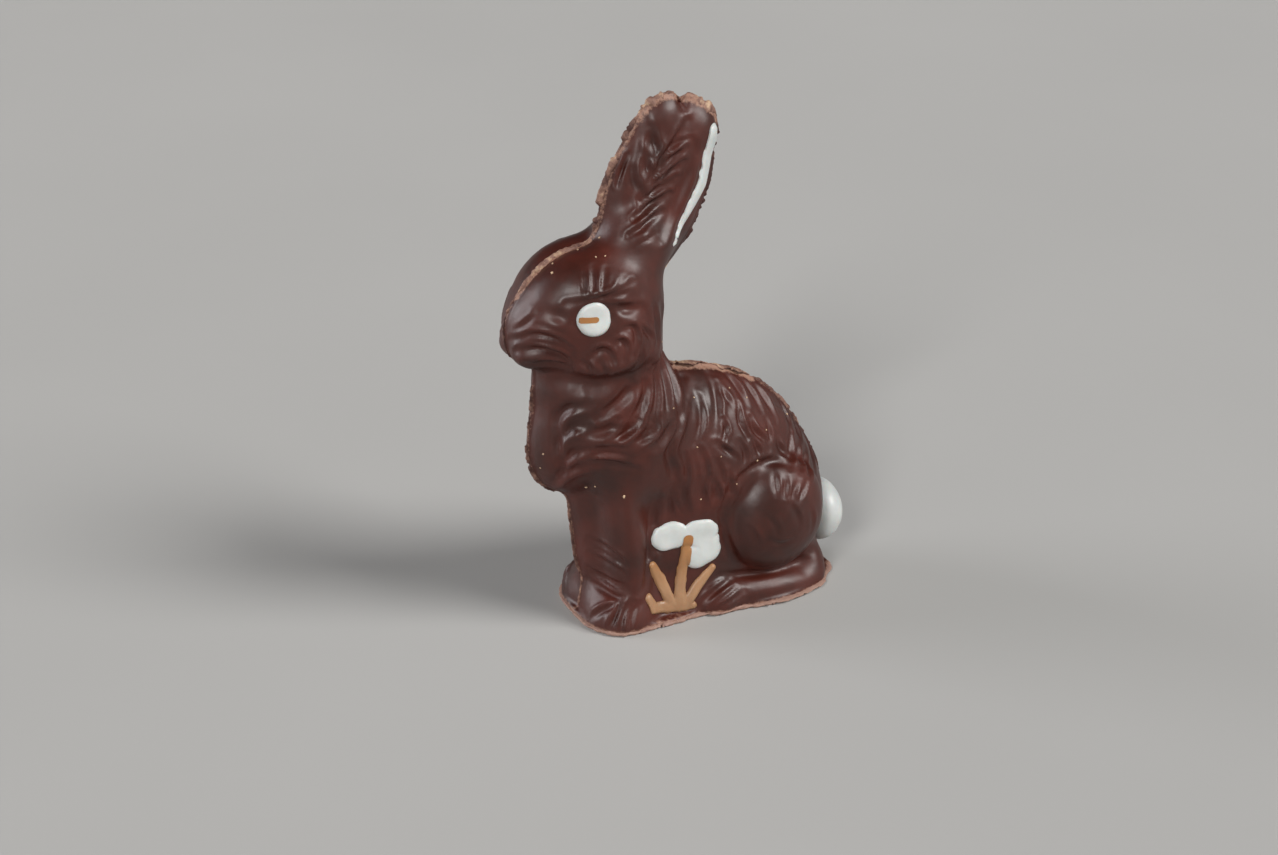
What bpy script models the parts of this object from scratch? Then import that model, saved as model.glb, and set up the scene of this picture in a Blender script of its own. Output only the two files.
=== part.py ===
"""A dark chocolate rabbit, cast in a mould first painted with white and caramel chocolate.

The rabbit sits facing -Y. X = 0 is the parting plane of the mould, +Z is up, and the origin lies
under the middle of its outline. Everything is in metres; MM turns the sculptor's millimetres into them.
"""

import math
import random

import bmesh
import bpy
import numpy as np
from mathutils import Matrix, Vector
from mathutils.bvhtree import BVHTree

MM = 0.001

# Driving dimensions
PLINTH_HALF_WIDTH = 14.6 * MM
PLINTH_HALF_LENGTH = 31.8 * MM
PLINTH_CENTRE_Y = 6.0 * MM
PLINTH_HEIGHT = 1.5 * MM
PLINTH_WAIST = 1.3 * MM
SEAM_HEIGHT = 0.9 * MM
SEAM_HALF_WIDTH = 0.7 * MM
INLAY_GAP = 0.35 * MM

# How finely the casting is meshed, and how many triangles each piece keeps
ROUGH_VOXEL = 1.5 * MM
FINE_VOXEL = 0.75 * MM
HALF_BODY_TRIANGLES = 5250

# The masses that the mould maker blends: centre and radii in millimetres, lean of the top
# towards the tail in degrees, and the width of the blend into what is already there.
# A mass with x above 0 is there once on each side of the parting plane.
MASSES = (
    ("torso", (-4, 5, 33.5), (18, 29.8, 22.2), 30, 0),
    ("rump", (-2, 21.5, 18), (16, 15.5, 18), 0, 6),
    ("belly", (0, 2, 16), (12.2, 26, 18), 0, 4),
    ("web", (0, 0, 4), (12.6, 22, 12), 0, 3),
    ("chest", (-4, -20, 48), (17.2, 15.8, 17), 0, 7),
    ("ruff", (-2, -22, 59), (13, 12.4, 9), 0, 4),
    ("chest_tuft", (0, -27.5, 41), (7.5, 7.5, 8.4), -15, 4),
    ("shoulder", (5.4, -12.5, 45), (9.6, 10.5, 16), 12, 4),
    ("neck", (0, -17, 61), (11.5, 11.5, 12), 0, 6),
    ("skull", (3.8, -19.8, 76.4), (10.2, 14, 13.2), -5, 5),
    ("forehead", (3.2, -26.3, 78.6), (8.2, 9.3, 8.6), 0, 4),
    ("muzzle", (0, -30.2, 72.8), (10.2, 10.6, 9.4), -10, 5),
    ("cheek", (6.5, -18, 68), (8, 10, 8.5), 0, 4),
    ("upper_lip", (3.4, -36, 68), (4.2, 4.4, 3.4), 0, 2.5),
    ("brow", (8.6, -21.5, 82.5), (4.4, 7, 3.2), -8, 2.5),
    ("ear_root", (2, -10.5, 89), (6.6, 8.2, 8), 20, 5),
    ("ear", (-4, -5.4, 99), (9, 13.4, 25), 20, 3),
    ("ear_tip_front", (-2, -4.4, 113.8), (5.4, 5.6, 6.6), 20, 1.5),
    ("ear_tip_back", (-2, 4.2, 111), (5.4, 5.2, 6.2), 20, 1.5),
    ("front_leg", (5.2, -16.4, 20), (8.4, 5.4, 27), -6, 4),
    ("leg_keel", (0, -20.3, 20), (5.5, 4.8, 24), -11, 3),
    ("front_paw", (5.8, -17.4, 1.5), (9.2, 7.6, 7), 0, 5),
    ("haunch", (9.2, 20.5, 19.8), (9.2, 11.8, 13), 0, 2),
    ("hind_foot", (9.5, 17, 2.5), (5.2, 16, 4.2), 3, 2),
    ("hind_toes", (10.8, 5.5, 2.5), (4.6, 6, 4.4), 0, 2),
    ("heel", (5, 30.5, 4), (6, 4.6, 5.5), 0, 3),
)

# What is scooped out of the blended masses, in the same terms.
HOLLOWS = (
    ("eye socket", (17.2, -27, 77.6), (5.2, 7.5, 4.2), -8, 2),
    ("temple", (17.6, -17, 79.6), (4.6, 4.6, 2.6), -10, 1.5),
    ("ear panel", (10.4, -3.6, 102.5), (6.4, 7.6, 14), 20, 1.5),
    ("armpit", (17, -7.4, 24), (5.4, 3.6, 10), 0, 2),
)

# Locks of fur and creases, combed between a first and a last stroke. A stroke is its start, middle
# and end as (y, z) in millimetres, seen from the side. Then how many, half width and depth.
STROKES = (
    ("ear midrib", ((-13.4, 93.6), (-5.8, 106.7), (2.2, 116.4)), None, 1, 1.5, 0.9),
    ("ear hair", ((-13.5, 93.2), (-10, 94.6), (-5.6, 95.6)),
     ((-2.6, 109.8), (0, 110.8), (3.4, 111)), 5, 0.9, 0.6),
    ("ear folds", ((-9.6, 99.5), (-11.3, 104), (-11.6, 109)),
     ((-5.6, 107.4), (-6.9, 110.6), (-7.4, 114.5)), 3, 1.0, 0.5),
    ("brow hair", ((-26.2, 86.2), (-26.9, 84.5), (-27.2, 82.9)),
     ((-19.5, 87), (-21.8, 85.6), (-23.4, 83.4)), 3, 0.8, 0.5),
    ("upper lid", ((-31.8, 79.4), (-26, 82.6), (-19.2, 83.4)), None, 1, 1.1, 0.7),
    ("eye corner", ((-20.6, 79.6), (-18.4, 80), (-14.8, 80.2)), None, 1, 1.6, 0.9),
    ("tear line", ((-30.6, 77.6), (-32.6, 78.2), (-35.4, 79)), None, 1, 1.5, 0.7),
    ("cheek locks", ((-24.3, 70.5), (-22.8, 68), (-22.4, 65.6)),
     ((-20.4, 74), (-17.8, 74.6), (-15.2, 72.4)), 5, 0.8, 0.55),
    ("mouth", ((-40.4, 69.6), (-36, 72.8), (-31, 72)),
     ((-38.9, 66.6), (-34.7, 67.8), (-29.6, 65.8)), 3, 0.85, 0.6),
    ("nose pad", ((-41, 72.2), (-39, 72.4), (-36.6, 78.6)), None, 1, 0.8, 0.6),
    ("under jaw", ((-34, 62.6), (-24, 61.4), (-13.8, 64)), None, 1, 1.8, 0.9),
    ("nape hair", ((-14.6, 78), (-13, 74), (-13, 69)),
     ((-9, 77), (-8.2, 73), (-8.2, 68)), 3, 0.9, 0.35),
    ("ruff", ((-6.6, 64), (-4.9, 58.5), (-5.3, 51.4)),
     ((-17, 60.5), (-20, 57.4), (-24, 54.2)), 7, 0.9, 0.6),
    ("lower ruff", ((-7.4, 51.6), (-8.6, 48.6), (-11.4, 45.4)),
     ((-20.5, 52.4), (-23, 50.8), (-27, 50.4)), 5, 0.9, 0.55),
    ("breast", ((-27, 45.6), (-23, 46.6), (-18.4, 46.4)),
     ((-26, 42.4), (-22, 42.6), (-17, 41)), 2, 1.0, 0.4),
    ("breast tufts", ((-26.6, 57), (-30.4, 54.6), (-32.6, 50.6)),
     ((-27, 42), (-30.8, 39.6), (-31.6, 35)), 4, 1.1, 0.7),
    ("shoulder", ((-3, 51), (-6.6, 45.4), (-8.6, 38.6)), None, 1, 1.3, 0.9),
    ("elbow", ((-9.2, 30), (-11.6, 22.6), (-13, 15)), None, 1, 1.2, 0.8),
    ("back locks", ((3, 54.2), (4.8, 50.8), (4, 46.8)),
     ((23.4, 45.6), (25.8, 42), (26, 37.8)), 8, 0.95, 0.65),
    ("flank locks", ((-0.8, 48.6), (0.6, 44.6), (-1.6, 40.6)),
     ((19.6, 41.8), (20.8, 38.6), (19.2, 34.8)), 8, 0.9, 0.6),
    ("crossing locks", ((5.5, 44), (7.6, 41.6), (10, 40.2)),
     ((10.6, 44.4), (12.3, 41.5), (14.6, 39)), 2, 0.9, 0.6),
    ("side locks", ((-3.4, 40.6), (-3.4, 37), (-5.4, 33.4)),
     ((14.5, 38.4), (15.4, 35.6), (13.8, 33)), 6, 0.9, 0.55),
    ("belly locks", ((-7.6, 34), (-7, 30), (-6.4, 26)),
     ((5.6, 35), (6.6, 31.4), (9.2, 29.4)), 5, 0.9, 0.55),
    ("rump tufts", ((25.6, 38), (24.2, 35), (22.2, 32.8)),
     ((30, 32.8), (28.4, 31), (26.2, 29.8)), 3, 0.9, 0.55),
    ("haunch tufts", ((17.2, 31.4), (16.6, 30), (16.2, 28)),
     ((25, 28.8), (23.4, 26.8), (21.8, 25.4)), 4, 0.8, 0.4),
    ("haunch front", ((14.6, 25.2), (12.6, 24.2), (11, 22.2)),
     ((12.2, 17), (10.8, 15.4), (10.4, 13.4)), 3, 0.8, 0.4),
    ("haunch scar", ((15, 17.8), (18, 15.8), (21, 16.6)), None, 1, 0.8, 0.35),
    ("leg hair", ((-23.4, 20.8), (-20.8, 19.2), (-18.4, 16.6)),
     ((-23, 9.4), (-21, 8.6), (-18.6, 8.6)), 4, 0.85, 0.5),
    ("front toes", ((-24.2, 2.8), (-23, 5.4), (-20.2, 7.4)),
     ((-18.2, 1.8), (-17.2, 4.8), (-15.8, 7.2)), 4, 0.8, 0.9),
    ("hind toes", ((0.8, 3.6), (3.6, 5.8), (7.8, 7)),
     ((2.4, 1.6), (6, 2.8), (10.4, 4)), 3, 0.75, 0.55),
    ("heel line", ((5.4, 8.6), (14, 6.4), (27.4, 7)), None, 1, 1.1, 0.7),
)

# The painted inlays are chains of round dots joined by straight tapering sides. A dot is its
# place in the side view and its radius, (y, z, radius) in millimetres, or (x, z, radius) for the tail.
EYE = (((-25.6, 77.1, 3.65), (-25.6, 77.3, 3.65)),)
PUPIL = (((-28.8, 77.4, 0.62), (-25.2, 77.15, 0.62)),)
EAR_STRIPE = (
    ((7.1, 111.4, 1.2), (6.6, 106, 1.15), (4.8, 100, 1.05), (1.2, 94.8, 0.85), (-3.3, 88.4, 0.35)),
)
PETALS = (
    ((-8, 20.6, 3.0), (-5.8, 21.1, 3.2)),
    ((-0.8, 21, 3.2), (1.2, 20.8, 3.3)),
    ((-0.3, 15.2, 3.3), (2, 16.1, 3.3)),
    ((-5.8, 20.8, 2.4), (-0.8, 20.4, 2.6), (1.6, 18, 3.3)),
)
STEMS = (
    ((-2.8, 20.1, 0.95), (-3.6, 14.8, 1.0), (-4.6, 7.9, 1.1), (-4.9, 3.4, 1.4)),
    ((-11.2, 14.6, 0.8), (-9, 10.2, 1.2), (-7.2, 5.4, 1.0), (-6.4, 3.4, 1.3)),
    ((3.4, 11.2, 0.8), (-0.6, 7.4, 1.1), (-2.9, 4.2, 1.1), (-3.6, 3.4, 1.3)),
    ((-12.8, 7.4, 0.9), (-11.4, 4.4, 1.2), (-7.6, 3.6, 1.6), (-3.4, 3.4, 1.6), (-1.8, 3, 1.0)),
)
TAIL = (((0, 13.7, 7.3), (0, 13.9, 7.3)),)


def lean_matrix(degrees):
    """Rows are the mass's own X, Y and Z axes once its top leans this far towards +Y."""
    lean = math.radians(degrees)
    return np.array([
        [1, 0, 0],
        [0, math.cos(lean), -math.sin(lean)],
        [0, math.sin(lean), math.cos(lean)],
    ])


def ellipsoid_distance(points, centre, radii, degrees):
    """About how far each point is from the ellipsoid's surface, negative inside."""
    local = (points - np.array(centre) * MM) @ lean_matrix(degrees).T
    radii = np.array(radii) * MM
    near = np.linalg.norm(local / radii, axis=1)
    slope = np.linalg.norm(local / radii**2, axis=1) + 1e-9
    return near * (near - 1) / slope


def plinth_distance(points):
    """The ground plate under the paws, a little waisted in the middle, with an uneven rim."""
    along = (points[:, 1] - PLINTH_CENTRE_Y) / PLINTH_HALF_LENGTH
    waisted = PLINTH_HALF_WIDTH - PLINTH_WAIST * np.cos(5.3 * along + 0.5)
    angle = np.arctan2(along, points[:, 0] / waisted)
    uneven = 1 + 0.012 * np.sin(5 * angle + 0.6) + 0.008 * np.sin(11 * angle)
    reach = (np.abs(points[:, 0] / waisted) ** 3 + np.abs(along) ** 3) ** (1 / 3) / uneven
    outside = np.hypot(points[:, 0], points[:, 1] - PLINTH_CENTRE_Y) * (1 - 1 / (reach + 1e-9))
    above = np.abs(points[:, 2] + PLINTH_HEIGHT) - 2 * PLINTH_HEIGHT
    rounding = 0.6 * MM
    corner = np.hypot(np.maximum(outside + rounding, 0), np.maximum(above + rounding, 0))
    return corner - rounding + np.minimum(np.maximum(outside, above) + rounding, 0)


def smooth_union(first, second, width):
    """The smaller of two distances, with a fillet of this width where they meet."""
    if width == 0:
        return np.minimum(first, second)
    share = np.maximum(width - np.abs(first - second), 0) / width
    return np.minimum(first, second) - share * share * width / 4


def casting_distance(points):
    """About how far each point is from the plain surface of the casting, negative inside."""
    mirrored = points * (1, 1, 1)
    mirrored[:, 0] = np.hypot(mirrored[:, 0], 0.4 * MM)
    distance = np.full(len(points), 1.0)
    for _, centre, radii, degrees, blend in MASSES:
        mass = ellipsoid_distance(mirrored, centre, radii, degrees)
        distance = smooth_union(distance, mass, blend * MM)
    for _, centre, radii, degrees, blend in HOLLOWS:
        hollow = ellipsoid_distance(mirrored, centre, radii, degrees)
        distance = -smooth_union(-distance, hollow, blend * MM)
    return smooth_union(distance, plinth_distance(mirrored), 1.2 * MM)


def slope_of(function, points, step=0.02 * MM):
    """The gradient of a distance function, by differences."""
    here = function(points)
    columns = [(function(points + offset) - here) / step for offset in np.eye(3) * step]
    return here, np.stack(columns, axis=1)


def mesh_points(mesh):
    points = np.empty(len(mesh.vertices) * 3)
    mesh.vertices.foreach_get("co", points)
    return points.reshape(-1, 3)


def set_mesh_points(mesh, points):
    mesh.vertices.foreach_set("co", points.astype(np.float32).ravel())
    mesh.update()


def pull_onto_casting(mesh, passes=5):
    """Moves every vertex onto the blended surface by Newton's method, in short steps."""
    points = mesh_points(mesh)
    for _ in range(passes):
        distance, slope = slope_of(casting_distance, points)
        step = slope * (distance / np.maximum((slope**2).sum(axis=1), 0.05))[:, None]
        length = np.linalg.norm(step, axis=1, keepdims=True)
        points -= step * np.minimum(1, 1.0 * MM / np.maximum(length, 1e-9))
    set_mesh_points(mesh, points)
    return points


def apply_modifiers(obj):
    """Replaces the object's mesh by the one that its modifiers make."""
    graph = bpy.context.evaluated_depsgraph_get()
    evaluated = bpy.data.meshes.new_from_object(obj.evaluated_get(graph))
    obj.modifiers.clear()
    obj.data = evaluated


def remesh(obj, voxel):
    modifier = obj.modifiers.new("skin", "REMESH")
    modifier.mode = "VOXEL"
    modifier.voxel_size = voxel
    apply_modifiers(obj)


def blocked_in_masses():
    """One mesh of overlapping ellipsoids and a plate, roughly the rabbit."""
    rough = bmesh.new()
    for _, centre, radii, degrees, _ in MASSES:
        for side in ((1, -1) if centre[0] > 0 else (1,)):
            lean = Matrix(lean_matrix(degrees).T.tolist()).to_4x4()
            place = Matrix.Translation(Vector((side * max(centre[0], 0), *centre[1:])) * MM)
            half_width = radii[0] + min(centre[0], 0)
            size = Matrix.Diagonal((*(Vector((half_width, *radii[1:])) * MM), 1))
            bmesh.ops.create_uvsphere(
                rough, u_segments=32, v_segments=20, radius=1, matrix=place @ lean @ size
            )
    plate_size = (PLINTH_HALF_WIDTH, PLINTH_HALF_LENGTH, 4 * PLINTH_HEIGHT)
    plate_centre = (0, PLINTH_CENTRE_Y, -PLINTH_HEIGHT)
    plate = Matrix.Translation(plate_centre) @ Matrix.Diagonal((*plate_size, 1))
    bmesh.ops.create_cone(
        rough, segments=64, radius1=1, radius2=1, depth=1, cap_ends=True, matrix=plate
    )
    mesh = bpy.data.meshes.new("rabbit_body")
    rough.to_mesh(mesh)
    rough.free()
    return mesh


def stroke_points(start, middle, end, steps=10):
    """Points along the arc that runs from start to end and passes through middle."""
    start, middle, end = (np.array(p) for p in (start, middle, end))
    t = np.linspace(0, 1, steps)[:, None]
    handle = 2 * middle - (start + end) / 2
    return (1 - t) ** 2 * start + 2 * t * (1 - t) * handle + t**2 * end


def combed_strokes():
    """Every stroke of every lock: its points in the side view, half width and depth."""
    jitter = random.Random(11)
    for _, first, last, count, width, depth in STROKES:
        for number in range(count):
            share = number / max(count - 1, 1)
            guide = [
                tuple(a + (b - a) * share for a, b in zip(one, other))
                for one, other in zip(first, last or first)
            ]
            if count > 1:
                guide = [tuple(v + jitter.uniform(-0.4, 0.4) for v in place) for place in guide]
            points = stroke_points(*guide)
            yield points * MM, width * MM, depth * MM * jitter.uniform(0.85, 1.15)


def laid_on_surface(tree, flat_points):
    """The points of the left side's surface that show at these (y, z) from the side."""
    laid = []
    for y, z in flat_points:
        hit = tree.ray_cast(Vector((60 * MM, y, z)), Vector((-1, 0, 0)))[0]
        if hit is not None and hit.x > -0.1 * MM:
            laid.append(hit)
    return np.array(laid)


def distance_along(points, line):
    """For each point, the distance to the line and how far along it the nearest place is, 0 to 1."""
    best = np.full(len(points), np.inf)
    place = np.zeros(len(points))
    for number in range(len(line) - 1):
        start, span = line[number], line[number + 1] - line[number]
        t = np.clip((points - start) @ span / (span @ span + 1e-12), 0, 1)
        away = np.linalg.norm(points - start - t[:, None] * span, axis=1)
        closer = away < best
        best[closer] = away[closer]
        place[closer] = (number + t[closer]) / (len(line) - 1)
    return best, place


def chain_distance(flat, chains):
    """Signed distance in the view's plane, in millimetres, to rows of tapering round-ended links."""
    best = np.full(len(flat), np.inf)
    for chain in chains:
        for (y0, z0, r0), (y1, z1, r1) in zip(chain, chain[1:]):
            start, span = np.array((y0, z0)), np.array((y1 - y0, z1 - z0))
            t = np.clip((flat - start) @ span / (span @ span), 0, 1)
            away = np.linalg.norm(flat - start - t[:, None] * span, axis=1)
            best = np.minimum(best, away - (r0 + (r1 - r0) * t))
    return best


def relief_height(points, tree):
    """How far each point of the left side moves outwards for the fur, below 0 in a groove."""
    height = np.zeros(len(points))
    for flat, width, depth in combed_strokes():
        line = laid_on_surface(tree, flat)
        if len(line) < 3:
            continue
        low, high = line.min(axis=0) - 3 * width, line.max(axis=0) + 3 * width
        near = np.flatnonzero(((points > low) & (points < high)).all(axis=1))
        away, place = distance_along(points[near], line)
        groove = np.exp(-((away / width) ** 2))
        lips = np.exp(-(((away - 1.6 * width) / (0.75 * width)) ** 2))
        fade = np.sin(np.pi * np.clip(place, 0.04, 0.96)) ** 0.6
        height[near] += depth * fade * (0.55 * lips - groove)
    beside = chain_distance(points[:, 1:] / MM, EYE + EAR_STRIPE + PETALS + STEMS)
    return np.clip(height, -1.0 * MM, 0.6 * MM) * np.clip((beside - 0.3) / 1.2, 0, 1)


def cut_flat(mesh, origin, normal):
    """Removes what lies on the normal's side of a plane, and leaves the cut open."""
    work = bmesh.new()
    work.from_mesh(mesh)
    geometry = work.verts[:] + work.edges[:] + work.faces[:]
    bmesh.ops.bisect_plane(
        work, geom=geometry, dist=1e-7, plane_co=origin, plane_no=normal, clear_outer=True
    )
    work.to_mesh(mesh)
    work.free()


def carve(mesh):
    """Adds the fur to the left half, and the flash that stands along the parting plane."""
    points = mesh_points(mesh)
    tree = BVHTree.FromPolygons(points.tolist(), [tuple(p.vertices) for p in mesh.polygons])
    _, slope = slope_of(casting_distance, points)
    outwards = slope / np.maximum(np.linalg.norm(slope, axis=1, keepdims=True), 1e-9)
    height = relief_height(points, tree)
    ragged = 0.75 + 0.25 * np.sin(points[:, 1] / MM * 1.9) * np.sin(points[:, 2] / MM * 1.3 + 0.7)
    rising = np.clip((points[:, 2] - 5 * MM) / (4 * MM), 0, 1)
    on_seam = np.clip(1.5 - points[:, 0] / SEAM_HALF_WIDTH, 0, 1)
    height = height * (1 - on_seam) + SEAM_HEIGHT * ragged * rising * on_seam
    outwards[:, 0] *= 1 - on_seam
    # The feet of the casting stay where they stand.
    height *= np.clip(points[:, 2] / (1.5 * MM), 0, 1)
    set_mesh_points(mesh, points + outwards * height[:, None])


def thin_out(obj, triangles):
    modifier = obj.modifiers.new("fewer faces", "DECIMATE")
    modifier.ratio = min(1, triangles / sum(len(p.vertices) - 2 for p in obj.data.polygons))
    apply_modifiers(obj)


def join_halves(obj):
    """Squares the half up to its cut planes, mirrors it, and closes the underside flat."""
    work = bmesh.new()
    work.from_mesh(obj.data)
    for edge in work.edges:
        if edge.is_boundary:
            middle = (edge.verts[0].co + edge.verts[1].co) / 2
            for vertex in edge.verts:
                if middle.x < 0.3 * MM:
                    vertex.co.x = 0
                if middle.z < 0.3 * MM:
                    vertex.co.z = 0
    geometry = work.verts[:] + work.edges[:] + work.faces[:]
    bmesh.ops.mirror(work, geom=geometry, axis="X", merge_dist=1e-6)
    open_edges = [edge for edge in work.edges if edge.is_boundary]
    under = bmesh.ops.holes_fill(work, edges=open_edges)["faces"]
    bmesh.ops.triangulate(work, faces=under)
    bmesh.ops.recalc_face_normals(work, faces=work.faces[:])
    work.to_mesh(obj.data)
    work.free()


def dot_grid(outline, low, high, step):
    """Grid points and square cells inside an outline, with the rim's points moved onto it."""
    across = np.arange(low[0], high[0] + step, step)
    up = np.arange(low[1], high[1] + step, step)
    flat = np.array([(a, b) for a in across for b in up])
    rows = len(up)
    cells = [
        (i * rows + j, (i + 1) * rows + j, (i + 1) * rows + j + 1, i * rows + j + 1)
        for i in range(len(across) - 1)
        for j in range(rows - 1)
    ]
    middles = flat[np.array(cells)].mean(axis=1)
    cells = [cell for cell, away in zip(cells, outline(middles)) if away < -0.1 * step]
    while True:
        around = {}
        for cell in cells:
            for corner in cell:
                around.setdefault(corner, []).append(cell)
        pairs = [owners for owners in around.values() if len(owners) == 2]
        pinched = next((one for one, other in pairs if len(set(one) & set(other)) == 1), None)
        if pinched is None:
            break
        cells.remove(pinched)
    rim = np.array([corner for corner, owners in around.items() if len(owners) < 4])
    for _ in range(4):
        away = outline(flat[rim])
        slope = np.stack([(outline(flat[rim] + e) - away) / 0.01 for e in np.eye(2) * 0.01], axis=1)
        flat[rim] -= slope * (away / np.maximum((slope**2).sum(axis=1), 0.2))[:, None]
    return flat, cells


def laid_on(tree, flat, from_behind):
    """Where the body shows at each flat point, seen from its left side or from behind."""
    found = []
    for a, b in flat * MM:
        if from_behind:
            hit = tree.ray_cast(Vector((a, 60 * MM, b)), Vector((0, -1, 0)))[0]
        else:
            hit = tree.ray_cast(Vector((60 * MM, a, b)), Vector((-1, 0, 0)))[0]
        found.append(hit)
    return found


def inlay_mesh(name, tree, outline, low, high, step, swell, from_behind=False):
    """A closed pad over the body, its underside one gap away from it and its top swollen."""
    flat, cells = dot_grid(outline, low, high, step)
    used = sorted({corner for cell in cells for corner in cell})
    hits = dict(zip(used, laid_on(tree, flat[used], from_behind)))
    cells = [cell for cell in cells if all(hits[corner] is not None for corner in cell)]
    used = sorted({corner for cell in cells for corner in cell})
    ground = np.array([hits[corner] for corner in used])
    _, slope = slope_of(casting_distance, ground)
    outwards = slope / np.linalg.norm(slope, axis=1, keepdims=True)
    under = ground + outwards * INLAY_GAP
    top = under + outwards * (swell(flat[used]) * MM)[:, None]
    work = bmesh.new()
    lower = {corner: work.verts.new(p) for corner, p in zip(used, under)}
    upper = {corner: work.verts.new(p) for corner, p in zip(used, top)}
    sides = {}
    for cell in cells:
        work.faces.new([upper[corner] for corner in cell])
        work.faces.new([lower[corner] for corner in reversed(cell)])
        for one, other in zip(cell, cell[1:] + cell[:1]):
            key = frozenset((one, other))
            sides[key] = None if key in sides else (one, other)
    for side in filter(None, sides.values()):
        one, other = side
        work.faces.new([upper[one], lower[one], lower[other], upper[other]])
    bmesh.ops.recalc_face_normals(work, faces=work.faces[:])
    mesh = bpy.data.meshes.new(name)
    work.to_mesh(mesh)
    work.free()
    for polygon in mesh.polygons:
        polygon.use_smooth = True
    return mesh


def dome(outline, rim, height, edge, fullness=0.5):
    """Thickness of a pad: the rim's at its outline, rising over the edge's width to the height."""
    def swell(flat):
        inside = np.clip(-outline(flat) / edge, 0, 1)
        return rim + (height - rim) * (1 - (1 - inside) ** 2) ** fullness
    return swell


def mirrored_mesh(mesh, name):
    other = mesh.copy()
    other.name = name
    other.transform(Matrix.Diagonal((-1, 1, 1, 1)))
    other.flip_normals()
    return other


def chocolate(name, colour, roughness):
    """A Principled material. The colour is linear RGB."""
    material = bpy.data.materials.new(name)
    material.use_nodes = True
    surface = material.node_tree.nodes["Principled BSDF"]
    surface.inputs["Base Color"].default_value = (*colour, 1)
    surface.inputs["Roughness"].default_value = roughness
    return material


def add_object(name, mesh, collection, parent, material):
    obj = bpy.data.objects.new(name, mesh)
    collection.objects.link(obj)
    obj.parent = parent
    mesh.materials.append(material)
    return obj


def build_body(collection, parent, material):
    body = add_object("rabbit_body", blocked_in_masses(), collection, parent, material)
    remesh(body, ROUGH_VOXEL)
    pull_onto_casting(body.data)
    remesh(body, FINE_VOXEL)
    pull_onto_casting(body.data)
    cut_flat(body.data, (0, 0, 0), (-1, 0, 0))
    cut_flat(body.data, (0, 0, 0), (0, 0, -1))
    carve(body.data)
    thin_out(body, HALF_BODY_TRIANGLES)
    join_halves(body)
    for polygon in body.data.polygons:
        polygon.use_smooth = True
    return body


def reach_of(chains):
    """The lowest and highest corner of the chains' bounding rectangle, with a margin."""
    dots = np.array([dot for chain in chains for dot in chain])
    low = (dots[:, :2] - dots[:, 2:]).min(axis=0) - 0.3
    high = (dots[:, :2] + dots[:, 2:]).max(axis=0) + 0.3
    return low, high


def build_inlays(body, collection, parent, white, caramel):
    """The pieces that were painted into the mould: a pair of each, and one tail."""
    points = mesh_points(body.data)
    tree = BVHTree.FromPolygons(points.tolist(), [tuple(p.vertices) for p in body.data.polygons])

    def inside(chains, without=None, gap=0.3):
        def outline(flat):
            away = chain_distance(flat, chains)
            if without:
                away = np.maximum(away, gap - chain_distance(flat, without))
            return away
        return outline

    eye_swell = dome(inside(EYE), 0.5, 1.7, 3.65)
    stripe_swell = dome(inside(EAR_STRIPE), 0.35, 0.85, 0.9)
    petal_swell = dome(inside(PETALS), 0.4, 1.5, 2.2)
    stem_swell = dome(inside(STEMS), 0.4, 1.25, 0.9)
    pairs = (
        ("eye", EYE, inside(EYE, PUPIL), 0.6, eye_swell, white, 210),
        ("pupil", PUPIL, inside(PUPIL), 0.42, eye_swell, caramel, 70),
        ("ear_stripe", EAR_STRIPE, inside(EAR_STRIPE), 0.55, stripe_swell, white, 300),
        ("flower", PETALS, inside(PETALS, STEMS), 0.7, petal_swell, white, 420),
        ("stems", STEMS, inside(STEMS), 0.5, stem_swell, caramel, 440),
    )
    for name, chains, outline, step, swell, material, triangles in pairs:
        mesh = inlay_mesh(name + "_left", tree, outline, *reach_of(chains), step, swell)
        left = add_object(name + "_left", mesh, collection, parent, material)
        thin_out(left, triangles)
        other = mirrored_mesh(left.data, name + "_right")
        add_object(name + "_right", other, collection, parent, material)
    tail_swell = dome(inside(TAIL), 0.5, 5.4, 7.3, fullness=0.72)
    mesh = inlay_mesh("tail", tree, inside(TAIL), *reach_of(TAIL), 0.9, tail_swell, from_behind=True)
    tail = add_object("tail", mesh, collection, parent, white)
    thin_out(tail, 320)


def main():
    for obj in list(bpy.data.objects):
        bpy.data.objects.remove(obj)
    rabbit = bpy.data.collections.new("chocolate_rabbit")
    bpy.context.scene.collection.children.link(rabbit)
    parent = bpy.data.objects.new("chocolate_rabbit_origin", None)
    rabbit.objects.link(parent)
    dark = chocolate("dark_chocolate", (0.072, 0.019, 0.011), 0.32)
    white = chocolate("white_chocolate", (0.72, 0.7, 0.6), 0.4)
    caramel = chocolate("caramel_chocolate", (0.36, 0.17, 0.05), 0.4)
    body = build_body(rabbit, parent, dark)
    build_inlays(body, rabbit, parent, white, caramel)


main()
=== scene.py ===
import math
import random

import bmesh
import bpy
import numpy as np
from mathutils import Matrix, Vector, noise
from mathutils.bvhtree import BVHTree


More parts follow.
